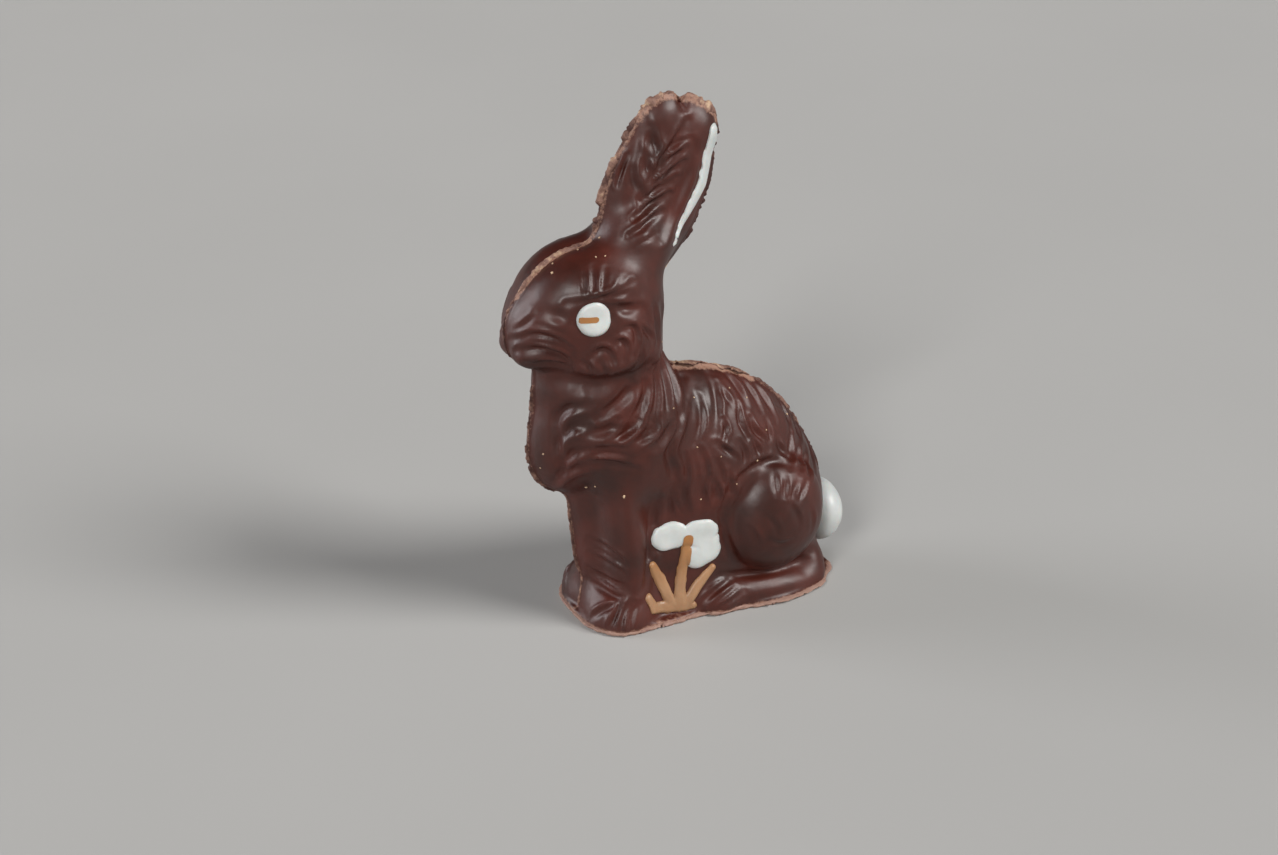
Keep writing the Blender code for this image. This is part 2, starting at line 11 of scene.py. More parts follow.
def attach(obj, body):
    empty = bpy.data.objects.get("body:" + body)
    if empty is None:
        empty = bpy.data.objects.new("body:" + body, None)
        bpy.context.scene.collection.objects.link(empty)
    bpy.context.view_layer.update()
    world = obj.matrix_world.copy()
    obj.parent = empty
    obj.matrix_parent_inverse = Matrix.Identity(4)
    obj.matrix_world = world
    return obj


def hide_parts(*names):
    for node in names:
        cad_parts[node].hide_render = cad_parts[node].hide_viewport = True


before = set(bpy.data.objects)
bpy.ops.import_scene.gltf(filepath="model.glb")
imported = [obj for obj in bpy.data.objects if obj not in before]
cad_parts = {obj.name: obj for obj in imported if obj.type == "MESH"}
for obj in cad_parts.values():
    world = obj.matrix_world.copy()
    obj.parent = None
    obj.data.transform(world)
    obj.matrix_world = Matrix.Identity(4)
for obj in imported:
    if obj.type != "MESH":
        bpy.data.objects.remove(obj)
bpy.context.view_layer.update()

# The table and the daylight
# The rabbit stands on a plain pale table. Soft light comes over its back and from its left, and a
# wide pale wall answers from in front of its nose. The camera is a short arm's length away.
MM = 0.001
CAMERA_AZIMUTH = 65
CAMERA_ELEVATION = 25
CAMERA_FIELD = 27
CAMERA_NEAREST = 0.01
CAMERA_PLACE = Vector((486.6, -236.1, 293.8)) * MM
LIGHT_AIM = Vector((0, 0, 55)) * MM
TABLE_SIZE = 40


def linear(hex_colour):
    """An sRGB hex colour as the linear values that a shader takes."""
    channels = [int(hex_colour[place:place + 2], 16) / 255 for place in (1, 3, 5)]
    return (*[c / 12.92 if c <= 0.04045 else ((c + 0.055) / 1.055) ** 2.4 for c in channels], 1)


def new_material(name):
    material = bpy.data.materials.new(name)
    material.use_nodes = True
    return material, material.node_tree.nodes["Principled BSDF"]


def add_node(material, kind, inputs, **settings):
    """Adds a shader node. Each input takes a value, or the output that is linked to it."""
    node = material.node_tree.nodes.new("ShaderNode" + kind)
    for name, value in settings.items():
        setattr(node, name, value)
    for name, value in inputs.items():
        if isinstance(value, bpy.types.NodeSocket):
            material.node_tree.links.new(value, node.inputs[name])
        else:
            node.inputs[name].default_value = value
    return node


def soft_light(name, azimuth, elevation, width, strength, colour):
    """A wide far light from this bearing, as the camera's is taken, so wide in degrees."""
    a, e = math.radians(azimuth), math.radians(elevation)
    away = Vector((math.sin(a) * math.cos(e), -math.cos(a) * math.cos(e), math.sin(e)))
    bpy.ops.object.light_add(type="SUN", location=LIGHT_AIM + away)
    lamp = bpy.context.object
    lamp.name = name
    lamp.rotation_euler = away.to_track_quat("Z", "Y").to_euler()
    lamp.data.angle = math.radians(width)
    lamp.data.energy = strength
    lamp.data.color = linear(colour)[:3]


bpy.ops.object.camera_add(
    location=CAMERA_PLACE,
    rotation=(math.radians(90 - CAMERA_ELEVATION), 0, math.radians(CAMERA_AZIMUTH)),
)
camera = bpy.context.object
camera.data.angle = math.radians(CAMERA_FIELD)
camera.data.clip_start = CAMERA_NEAREST
bpy.context.scene.camera = camera
bpy.context.scene.view_settings.view_transform = "Standard"

soft_light("window_behind", 136, 38, 25, 3.3, "#fffefc")
soft_light("wall_in_front", -32, 14, 32, 2.1, "#fbfbff")
soft_light("lamp_on_the_left", 45, 31, 16, 2.0, "#fffefc")

world = bpy.data.worlds.new("pale_room")
bpy.context.scene.world = world
world.use_nodes = True
backdrop = world.node_tree.nodes["Background"]
direction = add_node(world, "TexCoord", {}).outputs["Generated"]
upward = add_node(world, "SeparateXYZ", {"Vector": direction}).outputs["Z"]
fall = add_node(world, "MapRange", {
    "Value": upward, "From Min": 0.1, "From Max": 0.24,
}).outputs["Result"]
sky = add_node(world, "MixRGB", {
    "Fac": fall, "Color1": linear("#b3b1ae"), "Color2": linear("#38393d"),
})
world.node_tree.links.new(sky.outputs["Color"], backdrop.inputs["Color"])

bpy.ops.mesh.primitive_plane_add(size=TABLE_SIZE)
table = bpy.context.object
table.name = "table_top"
table_paint, surface = new_material("matt_pale_laminate")
place = add_node(table_paint, "TexCoord", {})
cloudy = add_node(table_paint, "TexNoise", {
    "Vector": place.outputs["Object"], "Scale": 6.0, "Detail": 3.0,
})
tone = add_node(table_paint, "MixRGB", {
    "Fac": cloudy.outputs["Fac"], "Color1": linear("#a3a2a0"), "Color2": linear("#aaa9a7"),
})
table_paint.node_tree.links.new(tone.outputs["Color"], surface.inputs["Base Color"])
surface.inputs["Roughness"].default_value = 0.6
table.data.materials.append(table_paint)

# The moulded casting
# The whole rabbit is one shell of dark chocolate, cast in a mould of two halves that meet at X = 0.
# Its form is a blend of swelling masses, and the mould's fur is combed into it lock by lock.
CASTING_VOXEL = 0.495
PLINTH_HALF_WIDTH = 14.6
PLINTH_HALF_LENGTH = 31.8
PLINTH_CENTRE_Y = 6.0
PLINTH_HEIGHT = 1.5
PLINTH_WAIST = 1.3
PLINTH_ROUNDING = 0.6
PLINTH_BLEND = 1.2
MIDLINE_ROUNDING = 0.4
SEAM_RISE = 0.35
SEAM_HALF_WIDTH = 0.6
SEAM_STEP = 0.22
SEAM_STRIDE = 3
NOTCH_PLACE = 0.6
NOTCH_HALF_WIDTH = 1.1
NOTCH_FOOT = 115.5
NOTCH_DEPTH = 1.5

# The fur: how far locks and hairs sway, the lip beside a groove as shares of the groove's half
# width and depth, and how deep and high it may go
LOCK_SWAY = 0.4
HAIR_SWAY = 0.7
LIP_PLACE = 1.55
LIP_WIDTH = 0.72
LIP_SHARE = 0.4
DEEPEST = -1.5
HIGHEST = 0.75
PAINT_CLEARANCE = 0.1

# The surface's slow and quick waviness: height and size in millimetres, and its seed
SLOW_WAVES = (0.10, 5.5, 1)
QUICK_WAVES = (0.035, 1.7, 2)

# Below STANDING the casting is cut flat, and the relief and the seam's rise grow from these heights
STANDING = 0.3
RELIEF_GROWTH = 1.5
SEAM_FOOT = 5
SEAM_GROWTH = 4

# Rays start this far out, closer vertices are merged, and TINY keeps a division from failing
FAR_OUT = 60
MERGED = 1e-6
TINY = 1e-9

# Each mass: centre and radii in millimetres, lean towards the tail in degrees, width of its blend
MASSES = (
    ("torso", (-4, 5, 33.5), (18, 29.8, 22.2), 30, 0),
    ("rump", (-2, 21.5, 18), (16, 15.5, 18), 0, 6),
    ("belly", (0, 2, 16), (12.2, 26, 18), 0, 4),
    ("web", (0, 0, 4), (12.6, 22, 12), 0, 3),
    ("chest", (-4, -20, 48), (17.2, 15.8, 17), 0, 7),
    ("ruff", (-2, -22, 59), (13, 12.4, 9), 0, 4),
    ("chest tuft", (0, -27.5, 41), (7.5, 7.5, 8.4), -15, 4),
    ("shoulder", (5.4, -12.5, 45), (9.6, 10.5, 16), 12, 4),
    ("neck", (0, -17, 61), (11.5, 11.5, 12), 0, 6),
    ("skull", (3.8, -19.8, 76.4), (10.2, 14, 13.2), -5, 5),
    ("forehead", (3.2, -26.3, 78.6), (8.2, 9.3, 8.6), 0, 4),
    ("muzzle", (0, -30.2, 72.8), (10.2, 10.6, 9.4), -10, 5),
    ("cheek", (6.5, -18, 68), (8, 10, 8.5), 0, 4),
    ("upper lip", (3.4, -36, 68), (4.2, 4.4, 3.4), 0, 2.5),
    ("brow", (8.6, -21.5, 82.5), (4.4, 7, 3.2), -8, 2.5),
    ("ear root", (2, -10.5, 89), (6.6, 8.2, 8), 20, 5),
    ("ear", (-4, -5.4, 99), (9, 13.4, 25), 20, 3),
    ("ear tip front", (-2, -4.4, 113.8), (5.4, 5.6, 6.6), 20, 1.5),
    ("ear tip back", (-2, 4.2, 111), (5.4, 5.2, 6.2), 20, 1.5),
    ("front leg", (5.2, -16.4, 20), (8.4, 5.4, 27), -6, 3),
    ("leg keel", (0, -20.3, 20), (5.5, 4.8, 24), -11, 3),
    ("front paw", (5.8, -17.4, 1.5), (9.2, 7.6, 7), 0, 5),
    ("haunch", (9.2, 19.4, 21), (9.2, 12.6, 14), 0, 1.2),
    ("hind foot", (9.5, 17, 2.5), (5.2, 16, 4.2), 3, 2),
    ("hind toes", (10.8, 5.5, 2.5), (4.6, 6, 4.4), 0, 2),
    ("heel", (5, 30.5, 4), (6, 4.6, 5.5), 0, 3),
)
HOLLOWS = (
    ("eye socket", (17.2, -27, 77.6), (5.2, 7.5, 4.2), -8, 2),
    ("temple", (17.6, -17, 79.6), (4.6, 4.6, 2.6), -10, 1.5),
    ("ear panel", (10.4, -3.6, 102.5), (6.4, 7.6, 14), 20, 1.5),
    ("armpit", (17, -7.4, 24), (5.4, 3.6, 10), 0, 2),
)

# Rows of fur: the first and last groove as start, middle and end in (y, z) millimetres, seen from
# the side, then how many, half width, depth, and how many fine hairs lie between the grooves
FUR = (
    ("nape hair", ((-14.6, 78), (-13, 74), (-13, 69)),
     ((-9, 77), (-8.2, 73), (-8.2, 68)), 3, 0.9, 0.35, 3),
    ("ruff", ((-6.6, 64), (-4.9, 58.5), (-5.3, 51.4)),
     ((-17, 60.5), (-20, 57.4), (-24, 54.2)), 6, 1.25, 1.0, 0),
    ("lower ruff", ((-7.4, 51.6), (-8.6, 48.6), (-11.4, 45.4)),
     ((-20.5, 52.4), (-23, 50.8), (-27, 50.4)), 4, 1.2, 0.85, 2),
    ("breast", ((-27, 45.6), (-23, 46.6), (-18.4, 46.4)),
     ((-26, 42.4), (-22, 42.6), (-17, 41)), 2, 1.0, 0.55, 3),
    ("breast tufts", ((-26.6, 57), (-30.4, 54.6), (-32.6, 50.6)),
     ((-27, 42), (-30.8, 39.6), (-31.6, 35)), 4, 1.1, 0.75, 0),
    ("belly locks", ((-7.6, 34), (-7, 30), (-6.4, 26)),
     ((5.6, 35), (6.6, 31.4), (7.2, 29)), 5, 0.9, 0.5, 3),
    ("rump tufts", ((25.6, 38), (24.2, 35), (22.2, 32.8)),
     ((30, 32.8), (28.4, 31), (26.2, 29.8)), 3, 0.9, 0.5, 2),
    ("haunch tufts", ((17.8, 32.4), (17.2, 31), (16.8, 29)),
     ((25.6, 29.8), (24, 27.8), (22.4, 26.4)), 4, 0.7, 0.4, 2),
    ("leg hair", ((-23.4, 20.8), (-20.8, 19.2), (-18.4, 16.6)),
     ((-23, 9.4), (-21, 8.6), (-18.6, 8.6)), 4, 0.8, 0.5, 2),
    ("front toes", ((-24.2, 2.8), (-23, 5.4), (-20.2, 7.4)),
     ((-18.2, 1.8), (-17.2, 4.8), (-15.8, 7.2)), 4, 0.8, 0.8, 0),
    ("hind toes", ((0.8, 3.6), (3.6, 5.8), (7.8, 7)),
     ((2.4, 1.6), (6, 2.8), (10.4, 4)), 3, 0.75, 0.5, 0),
)

# Single grooves, given one by one: half width, depth, and the places they pass in (y, z)
GROOVES = (
    (0.6, 0.3, ((-27.5, 82.9), (-27, 84.6), (-26.3, 86.4))),
    (0.65, 0.42, ((-25.8, 82.4), (-25.2, 85), (-24, 87.6))),
    (0.65, 0.42, ((-23.9, 82.4), (-23.2, 85), (-21.6, 87.2))),
    (0.6, 0.25, ((-21.6, 82.6), (-19.8, 84.2), (-18, 85.4))),
    (0.9, 0.7, ((-31, 80.9), (-25.6, 81.5), (-21.2, 82.2), (-16.4, 83.9))),
    (0.55, 0.35, ((-22, 81), (-19.6, 82), (-17, 82.3))),
    (1.2, 0.8, ((-21.4, 79.4), (-18.6, 78.4), (-14.4, 77.9))),
    (1.4, 0.6, ((-30.4, 77.6), (-32.6, 78.4), (-35.6, 79.2))),
    (0.8, 0.85, ((-40.2, 69.4), (-36.9, 71), (-31.9, 69.2), (-29.6, 66))),
    (0.6, 0.35, ((-39.8, 70.6), (-37, 72.6), (-32.6, 71.3), (-29.6, 68.4))),
    (0.8, 0.7, ((-40.5, 71.2), (-37.6, 74.3), (-33.5, 73.3), (-30.3, 70.4))),
    (0.8, 0.8, ((-38.8, 66.8), (-33.8, 67.3), (-29.5, 65.3))),
    (0.7, 0.35, ((-40.8, 72.8), (-38.6, 75.6), (-36.2, 78.6))),
    (0.75, 0.75, ((-26.4, 68.3), (-24.6, 70.4), (-22.8, 70.1), (-21.9, 67.2))),
    (0.75, 0.75, ((-21.8, 70.8), (-20.1, 72.1), (-18.9, 70.8), (-19.7, 67.4))),
    (0.75, 0.75, ((-19.4, 74.4), (-16.9, 74.6), (-16.1, 72.3), (-17.6, 68.2))),
    (0.75, 0.65, ((-16, 74.6), (-13.4, 72.3), (-12.2, 70.2))),
    (0.7, 0.6, ((-27.6, 67.4), (-26, 66.2), (-25.6, 64.2))),
    (0.7, 0.6, ((-24.4, 67), (-23.2, 65.6), (-23.2, 63.6))),
    (0.7, 0.5, ((-15.4, 69.6), (-15.2, 67.4), (-17, 65))),
    (2.4, 1.5, ((-35, 62.4), (-24, 61), (-13.8, 63.6))),
    (0.75, 0.95, ((-5.6, 105.2), (-3, 107.3), (0.2, 108.7))),
    (0.75, 1.1, ((-9.5, 99.4), (-5.6, 103), (-0.6, 105.8))),
    (0.75, 0.9, ((-11, 97.4), (-7.4, 100.2), (-2.4, 102.6))),
    (0.75, 1.15, ((-12.8, 95.5), (-8.8, 97.6), (-3.9, 99.2))),
    (0.75, 1.05, ((-14.6, 92.4), (-11.3, 94), (-6, 95.6))),
    (0.5, 0.35, ((-13.2, 90.4), (-10.8, 91.4), (-8.2, 91.8))),
    (0.5, 0.4, ((-3.4, 109.4), (-1.4, 110.4), (1, 110.8))),
    (0.9, 0.9, ((-10.6, 98.8), (-6.3, 106.2), (-2.7, 110.6), (1.1, 114.4))),
    (1.2, 0.8, ((-7.9, 113.8), (-7.6, 110.9), (-6.9, 107.8))),
    (1.15, 0.55, ((-9.8, 108.4), (-9.4, 105.6), (-8.2, 103))),
    (1.15, 0.6, ((-12.2, 105), (-11.9, 102.1), (-10.6, 99))),
    (0.5, 1.0, ((-15.2, 102), (-14.1, 105.3), (-12.6, 108.4))),
    (1.1, 0.4, ((-8.3, 115.5), (-11.2, 109.7), (-12.9, 103.7), (-13.3, 98.1))),
    (1.3, 0.7, ((1.6, 109), (0.8, 104.5), (-1.2, 100.2), (-3.8, 95.1), (-7, 90.8))),
    (1.2, 0.8, ((-0.7, 55.7), (-5, 50), (-9.5, 43.7), (-6.7, 37.7), (-5.6, 31.8))),
    (0.9, 0.6, ((1.4, 52), (1.3, 47.5), (-1.4, 43.4))),
    (1.0, 0.65, ((6.2, 54.9), (6.3, 51.2), (3.7, 44.3))),
    (0.8, 0.5, ((7.4, 53.2), (8.7, 50.4), (9.6, 48.8))),
    (0.65, 0.85, ((11.2, 48.6), (10.5, 45.4), (11.9, 41.7))),
    (0.65, 0.7, ((6.4, 46.8), (6.9, 44.4), (5, 42.6))),
    (0.7, 0.85, ((13.5, 45.3), (14.2, 42.4), (17.4, 39.2))),
    (0.7, 0.75, ((3.6, 42.6), (5.9, 40.5), (8.4, 38.3))),
    (0.9, 0.6, ((10.4, 54.4), (12.8, 51.6), (13.4, 47.8))),
    (1.0, 0.6, ((16.4, 52), (20, 47.7), (21.3, 42.4))),
    (0.8, 0.45, ((13.8, 53.2), (16.4, 49.8), (17.4, 45.6))),
    (0.9, 0.55, ((23.9, 46), (26.4, 42), (26, 38.4))),
    (0.7, 0.6, ((13.2, 41.2), (14.6, 38.4), (14.8, 36.4))),
    (0.9, 0.55, ((28, 42), (29.6, 38), (28.8, 34.2))),
    (0.8, 0.6, ((20.8, 39.4), (21, 36.6), (23.6, 33.8))),
    (0.8, 0.5, ((30.9, 36.8), (33.4, 31.6), (31.5, 27.4))),
    (0.8, 0.5, ((-4.3, 41.4), (-3.4, 36.7), (-4.6, 30.4))),
    (0.8, 0.5, ((-0.4, 41.6), (1.2, 37.4), (0.2, 30.9))),
    (0.8, 0.5, ((3.2, 38.6), (4.8, 34.8), (3.4, 29.6))),
    (0.7, 0.5, ((9.6, 41.4), (11.2, 38.4), (10.2, 36))),
    (0.7, 0.45, ((18.2, 43.8), (18.8, 40.6), (17.8, 37.4))),
    (1.0, 0.5, ((5.8, 28), (8.2, 33), (13.8, 35.4), (19.5, 34.6), (25.4, 32))),
    (1.1, 0.6, ((6.2, 30), (5, 26), (5.6, 20.2), (8.4, 13), (12.1, 8.9))),
    (0.7, 0.3, ((14.6, 18.6), (17.6, 16.4), (21, 17.2))),
    (0.75, 0.3, ((10.6, 21.4), (12.2, 19), (12.8, 16))),
    (0.75, 0.3, ((14.2, 24.6), (16, 22.2), (16.8, 19.4))),
    (0.75, 0.3, ((20, 26), (21.6, 23.6), (22.2, 20.4))),
    (0.75, 0.3, ((25.2, 24.2), (26.4, 21.2), (26.2, 18))),
    (1.3, 0.9, ((-9.8, 31), (-11.4, 21.6), (-12.3, 14), (-13.8, 10.6))),
    (1.1, 0.5, ((-28.6, 59), (-32, 52), (-32.4, 45.4), (-30.7, 38.3))),
    (1.1, 0.7, ((5.4, 8.6), (14, 6.4), (27.4, 7))),
)

# The painted inlays, as chains of dots joined by tapering sides: (y, z, radius) in millimetres
EYE = (((-25.6, 77.1, 3.65), (-25.6, 77.3, 3.65)),)
EAR_STRIPE = (
    (
        (7, 111.2, 1.3), (6.9, 108.4, 1.75), (5.9, 105.4, 1.4),
        (4.4, 99.6, 1.55), (1.1, 94.8, 1.05), (-3.4, 88.2, 0.4),
    ),
)
PETALS = (
    ((-8, 20.6, 3.0), (-5.8, 21.1, 3.2)),
    ((-0.8, 21, 3.2), (1.2, 20.8, 3.3)),
    ((-0.3, 15.2, 3.3), (2, 16.1, 3.3)),
    ((-5.8, 20.8, 2.4), (-0.8, 20.4, 2.6), (1.6, 18, 3.3)),
)
STEMS = (
    ((-2.8, 20.1, 1.1), (-3.6, 14.8, 1.15), (-4.6, 7.9, 1.3), (-4.9, 3.4, 1.6)),
    ((-11.2, 14.6, 0.9), (-9, 10.2, 1.4), (-7.2, 5.4, 1.2), (-6.4, 3.4, 1.4)),
    ((3.4, 11.2, 0.9), (-0.6, 7.4, 1.3), (-2.9, 4.2, 1.3), (-3.6, 3.4, 1.4)),
    ((-12.8, 7.4, 0.9), (-11.4, 4.4, 1.2), (-7.6, 3.6, 1.6), (-3.4, 3.4, 1.6), (-1.8, 3, 1.0)),
)


def lean_matrix(degrees):
    """Rows are the mass's own axes once its top leans this far towards the tail."""
    lean = math.radians(degrees)
    return np.array([
        [1, 0, 0],
        [0, math.cos(lean), -math.sin(lean)],
        [0, math.sin(lean), math.cos(lean)],
    ])


def ellipsoid_distance(points, centre, radii, degrees):
    """About how far each point is from a mass."""
    local = (points - np.array(centre)) @ lean_matrix(degrees).T
    radii = np.array(radii)
    near = np.linalg.norm(local / radii, axis=1)
    slope = np.linalg.norm(local / radii**2, axis=1) + TINY
    return near * (near - 1) / slope


def plinth_distance(points):
    """The ground plate under the paws, a little waisted, with an uneven rim."""
    along = (points[:, 1] - PLINTH_CENTRE_Y) / PLINTH_HALF_LENGTH
    waisted = PLINTH_HALF_WIDTH - PLINTH_WAIST * np.cos(5.3 * along + 0.5)
    angle = np.arctan2(along, points[:, 0] / waisted)
    uneven = 1 + 0.012 * np.sin(5 * angle + 0.6) + 0.008 * np.sin(11 * angle)
    reach = (np.abs(points[:, 0] / waisted) ** 3 + np.abs(along) ** 3) ** (1 / 3) / uneven
    outside = np.hypot(points[:, 0], points[:, 1] - PLINTH_CENTRE_Y) * (1 - 1 / (reach + TINY))
    above = np.abs(points[:, 2] + PLINTH_HEIGHT) - 2 * PLINTH_HEIGHT
    corner = np.hypot(
        np.maximum(outside + PLINTH_ROUNDING, 0), np.maximum(above + PLINTH_ROUNDING, 0),
    )
    inside = np.minimum(np.maximum(outside, above) + PLINTH_ROUNDING, 0)
    return corner - PLINTH_ROUNDING + inside


def smooth_union(first, second, width):
    """The smaller of two distances, with a fillet of this width where they meet."""
    if width == 0:
        return np.minimum(first, second)
    share = np.maximum(width - np.abs(first - second), 0) / width
    return np.minimum(first, second) - share * share * width / 4


def casting_distance(points):
    """About how far each point is from the casting's plain form, in millimetres."""
    mirrored = points.copy()
    mirrored[:, 0] = np.hypot(mirrored[:, 0], MIDLINE_ROUNDING)
    distance = np.full(len(points), 1000.0)
    for _, centre, radii, degrees, blend in MASSES:
        distance = smooth_union(distance, ellipsoid_distance(mirrored, centre, radii, degrees), blend)
    for _, centre, radii, degrees, blend in HOLLOWS:
        hollow = ellipsoid_distance(mirrored, centre, radii, degrees)
        distance = -smooth_union(-distance, hollow, blend)
    return smooth_union(distance, plinth_distance(mirrored), PLINTH_BLEND)


def slope_of(points, step=0.02):
    """The casting's distance at each point, and its gradient by differences."""
    here = casting_distance(points)
    columns = [(casting_distance(points + offset) - here) / step for offset in np.eye(3) * step]
    return here, np.stack(columns, axis=1)


def outward(points):
    slope = slope_of(points)[1]
    return slope / np.maximum(np.linalg.norm(slope, axis=1, keepdims=True), TINY)


def pulled_onto_casting(points, passes):
    """The points moved onto the plain form by Newton's method, in short steps."""
    points = points.copy()
    for _ in range(passes):
        distance, slope = slope_of(points)
        step = slope * (distance / np.maximum((slope**2).sum(axis=1), 0.05))[:, None]
        length = np.linalg.norm(step, axis=1, keepdims=True)
        points -= step * np.minimum(1, 1 / np.maximum(length, TINY))
    return points


def mesh_points(obj):
    """The object's vertices in millimetres."""
    points = np.empty(len(obj.data.vertices) * 3)
    obj.data.vertices.foreach_get("co", points)
    return points.reshape(-1, 3) / MM


def set_mesh_points(obj, points):
    obj.data.vertices.foreach_set("co", (points * MM).astype(np.float32).ravel())
    obj.data.update()


def surface_tree(obj):
    """The object's surface, in millimetres, to cast rays at."""
    faces = [tuple(polygon.vertices) for polygon in obj.data.polygons]
    return BVHTree.FromPolygons(mesh_points(obj).tolist(), faces)


def groove_line(start, middle, end, steps=12):
    """Points along the arc that runs from start to end and passes through middle."""
    start, middle, end = (np.array(place) for place in (start, middle, end))
    t = np.linspace(0, 1, steps)[:, None]
    handle = 2 * middle - (start + end) / 2
    return (1 - t) ** 2 * start + 2 * t * (1 - t) * handle + t**2 * end


def rounded_line(places):
    """A chain of places as a line with its corners rounded off."""
    line = np.array(places, float)
    for _ in range(3):
        quarter = 0.75 * line[:-1] + 0.25 * line[1:]
        beyond = 0.25 * line[:-1] + 0.75 * line[1:]
        middle = np.stack((quarter, beyond), axis=1).reshape(-1, 2)
        line = np.concatenate((line[:1], middle[1:-1], line[-1:]))
    return line


def groove_between(first, last, share, draws, sway):
    """A groove this share of the way from one to another, each of its places swayed at random."""
    return groove_line(*(
        [a + (b - a) * share + draws.uniform(-sway, sway) for a, b in zip(one, other)]
        for one, other in zip(first, last)
    ))


def combed_grooves():
    """Every groove of the fur: its line in the side view, half width, depth and lopsidedness."""
    coarse, fine = random.Random(11), random.Random(5)
    for width, depth, places in GROOVES:
        yield rounded_line(places), width, depth, 0.3
    for _, first, last, count, width, depth, hairs in FUR:
        for number in range(count):
            line = groove_between(first, last, number / (count - 1), coarse, LOCK_SWAY)
            yield line, width, depth * coarse.uniform(0.85, 1.15), 0.35
        for number in range(hairs):
            share = (number + fine.uniform(0.2, 0.8)) / hairs
            line = groove_between(first, last, share, fine, HAIR_SWAY)
            yield line, width * 0.5, depth * fine.uniform(0.25, 0.5), 0.0


def seen_from_left(tree, y, z):
    """The place on the left side that shows at (y, z) from the side, if any."""
    return tree.ray_cast(Vector((FAR_OUT, y, z)), Vector((-1, 0, 0)))[0]


def laid_on_side(tree, flat_points):
    """The points of the left flank that show at these (y, z) from the side."""
    laid = []
    for y, z in flat_points:
        hit = seen_from_left(tree, y, z)
        if hit is not None and hit.x > -0.1:
            laid.append(hit)
    return np.array(laid)


def distance_along(points, line):
    """For each point: distance to the line, how far along, and on which side, in the side view."""
    best = np.full(len(points), np.inf)
    place = np.zeros(len(points))
    side = np.ones(len(points))
    for number in range(len(line) - 1):
        start, span = line[number], line[number + 1] - line[number]
        t = np.clip((points - start) @ span / (span @ span + 1e-12), 0, 1)
        offset = points - start - t[:, None] * span
        away = np.linalg.norm(offset, axis=1)
        closer = away < best
        best[closer] = away[closer]
        place[closer] = (number + t[closer]) / (len(line) - 1)
        side[closer] = np.sign(span[1] * offset[closer, 2] - span[2] * offset[closer, 1])
    return best, place, side


def chain_distance(flat, chains):
    """Signed distance in the side view to rows of tapering round-ended links."""
    best = np.full(len(flat), np.inf)
    for chain in chains:
        for (y0, z0, r0), (y1, z1, r1) in zip(chain, chain[1:]):
            start, span = np.array((y0, z0)), np.array((y1 - y0, z1 - z0))
            t = np.clip((flat - start) @ span / (span @ span), 0, 1)
            away = np.linalg.norm(flat - start - t[:, None] * span, axis=1)
            best = np.minimum(best, away - (r0 + (r1 - r0) * t))
    return best


def fur_height(points, tree):
    """How far the fur lifts each point, below 0 in a groove. The points are on the left side."""
    height = np.zeros(len(points))
    for flat, width, depth, lopsided in combed_grooves():
        line = laid_on_side(tree, flat)
        if len(line) < 3:
            continue
        low, high = line.min(axis=0) - 3 * width, line.max(axis=0) + 3 * width
        near = np.flatnonzero(((points > low) & (points < high)).all(axis=1))
        away, place, side = distance_along(points[near], line)
        groove = np.exp(-((away / width) ** 2))
        lips = np.exp(-(((away - LIP_PLACE * width) / (LIP_WIDTH * width)) ** 2))
        fade = np.sin(np.pi * np.clip(place, 0.04, 0.96)) ** 0.6
        height[near] += depth * fade * ((LIP_SHARE + lopsided * side) * lips - groove)
    beside = chain_distance(points[:, 1:], EYE + EAR_STRIPE + PETALS + STEMS)
    return np.clip(height, DEEPEST, HIGHEST) * np.clip(beside - PAINT_CLEARANCE, 0, 1)


def waviness(points, height, size, seed):
    """Smooth noise of this height and size in millimetres."""
    shift = Vector((seed * 7.3, seed * 3.1, seed * 5.7))
    return height * np.array([noise.noise(Vector(point) / size + shift) for point in points])


casting = bpy.data.objects.new("moulded_casting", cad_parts["rabbit_body"].data.copy())
bpy.context.scene.collection.objects.link(casting)
bpy.ops.object.select_all(action="DESELECT")
casting.select_set(True)
bpy.context.view_layer.objects.active = casting
bpy.ops.object.mode_set(mode="EDIT")
bpy.ops.mesh.select_all(action="SELECT")
bpy.ops.mesh.remove_doubles(threshold=MERGED)
bpy.ops.object.mode_set(mode="OBJECT")
skin = casting.modifiers.new("skin", "REMESH")
skin.mode = "VOXEL"
skin.voxel_size = CASTING_VOXEL * MM
bpy.ops.object.modifier_apply(modifier="skin")

cut_low = mesh_points(casting)
plain = pulled_onto_casting(cut_low, 4)
standing = cut_low[:, 2] < STANDING
plain[standing] = cut_low[standing]
plain[:, 2] = np.maximum(plain[:, 2], 0)
set_mesh_points(casting, plain)
plain_tree = surface_tree(casting)

left_side = plain.copy()
left_side[:, 0] = np.abs(left_side[:, 0])
lifted = fur_height(left_side, plain_tree)
on_seam = np.clip(1.5 - left_side[:, 0] / SEAM_HALF_WIDTH, 0, 1)
rising = np.clip((plain[:, 2] - SEAM_FOOT) / SEAM_GROWTH, 0, 1)
lifted = lifted * (1 - on_seam) + SEAM_RISE * rising * on_seam
lifted += waviness(plain, *SLOW_WAVES) + waviness(plain, *QUICK_WAVES)
notch = np.exp(-(((plain[:, 1] - NOTCH_PLACE) / NOTCH_HALF_WIDTH) ** 2))
notch *= np.clip((plain[:, 2] - NOTCH_FOOT) / 3, 0, 1)
lifted -= NOTCH_DEPTH * notch
lifted *= np.clip(plain[:, 2] / RELIEF_GROWTH, 0, 1)
set_mesh_points(casting, plain + outward(plain) * lifted[:, None])
bpy.ops.object.shade_smooth()
casting_tree = surface_tree(casting)

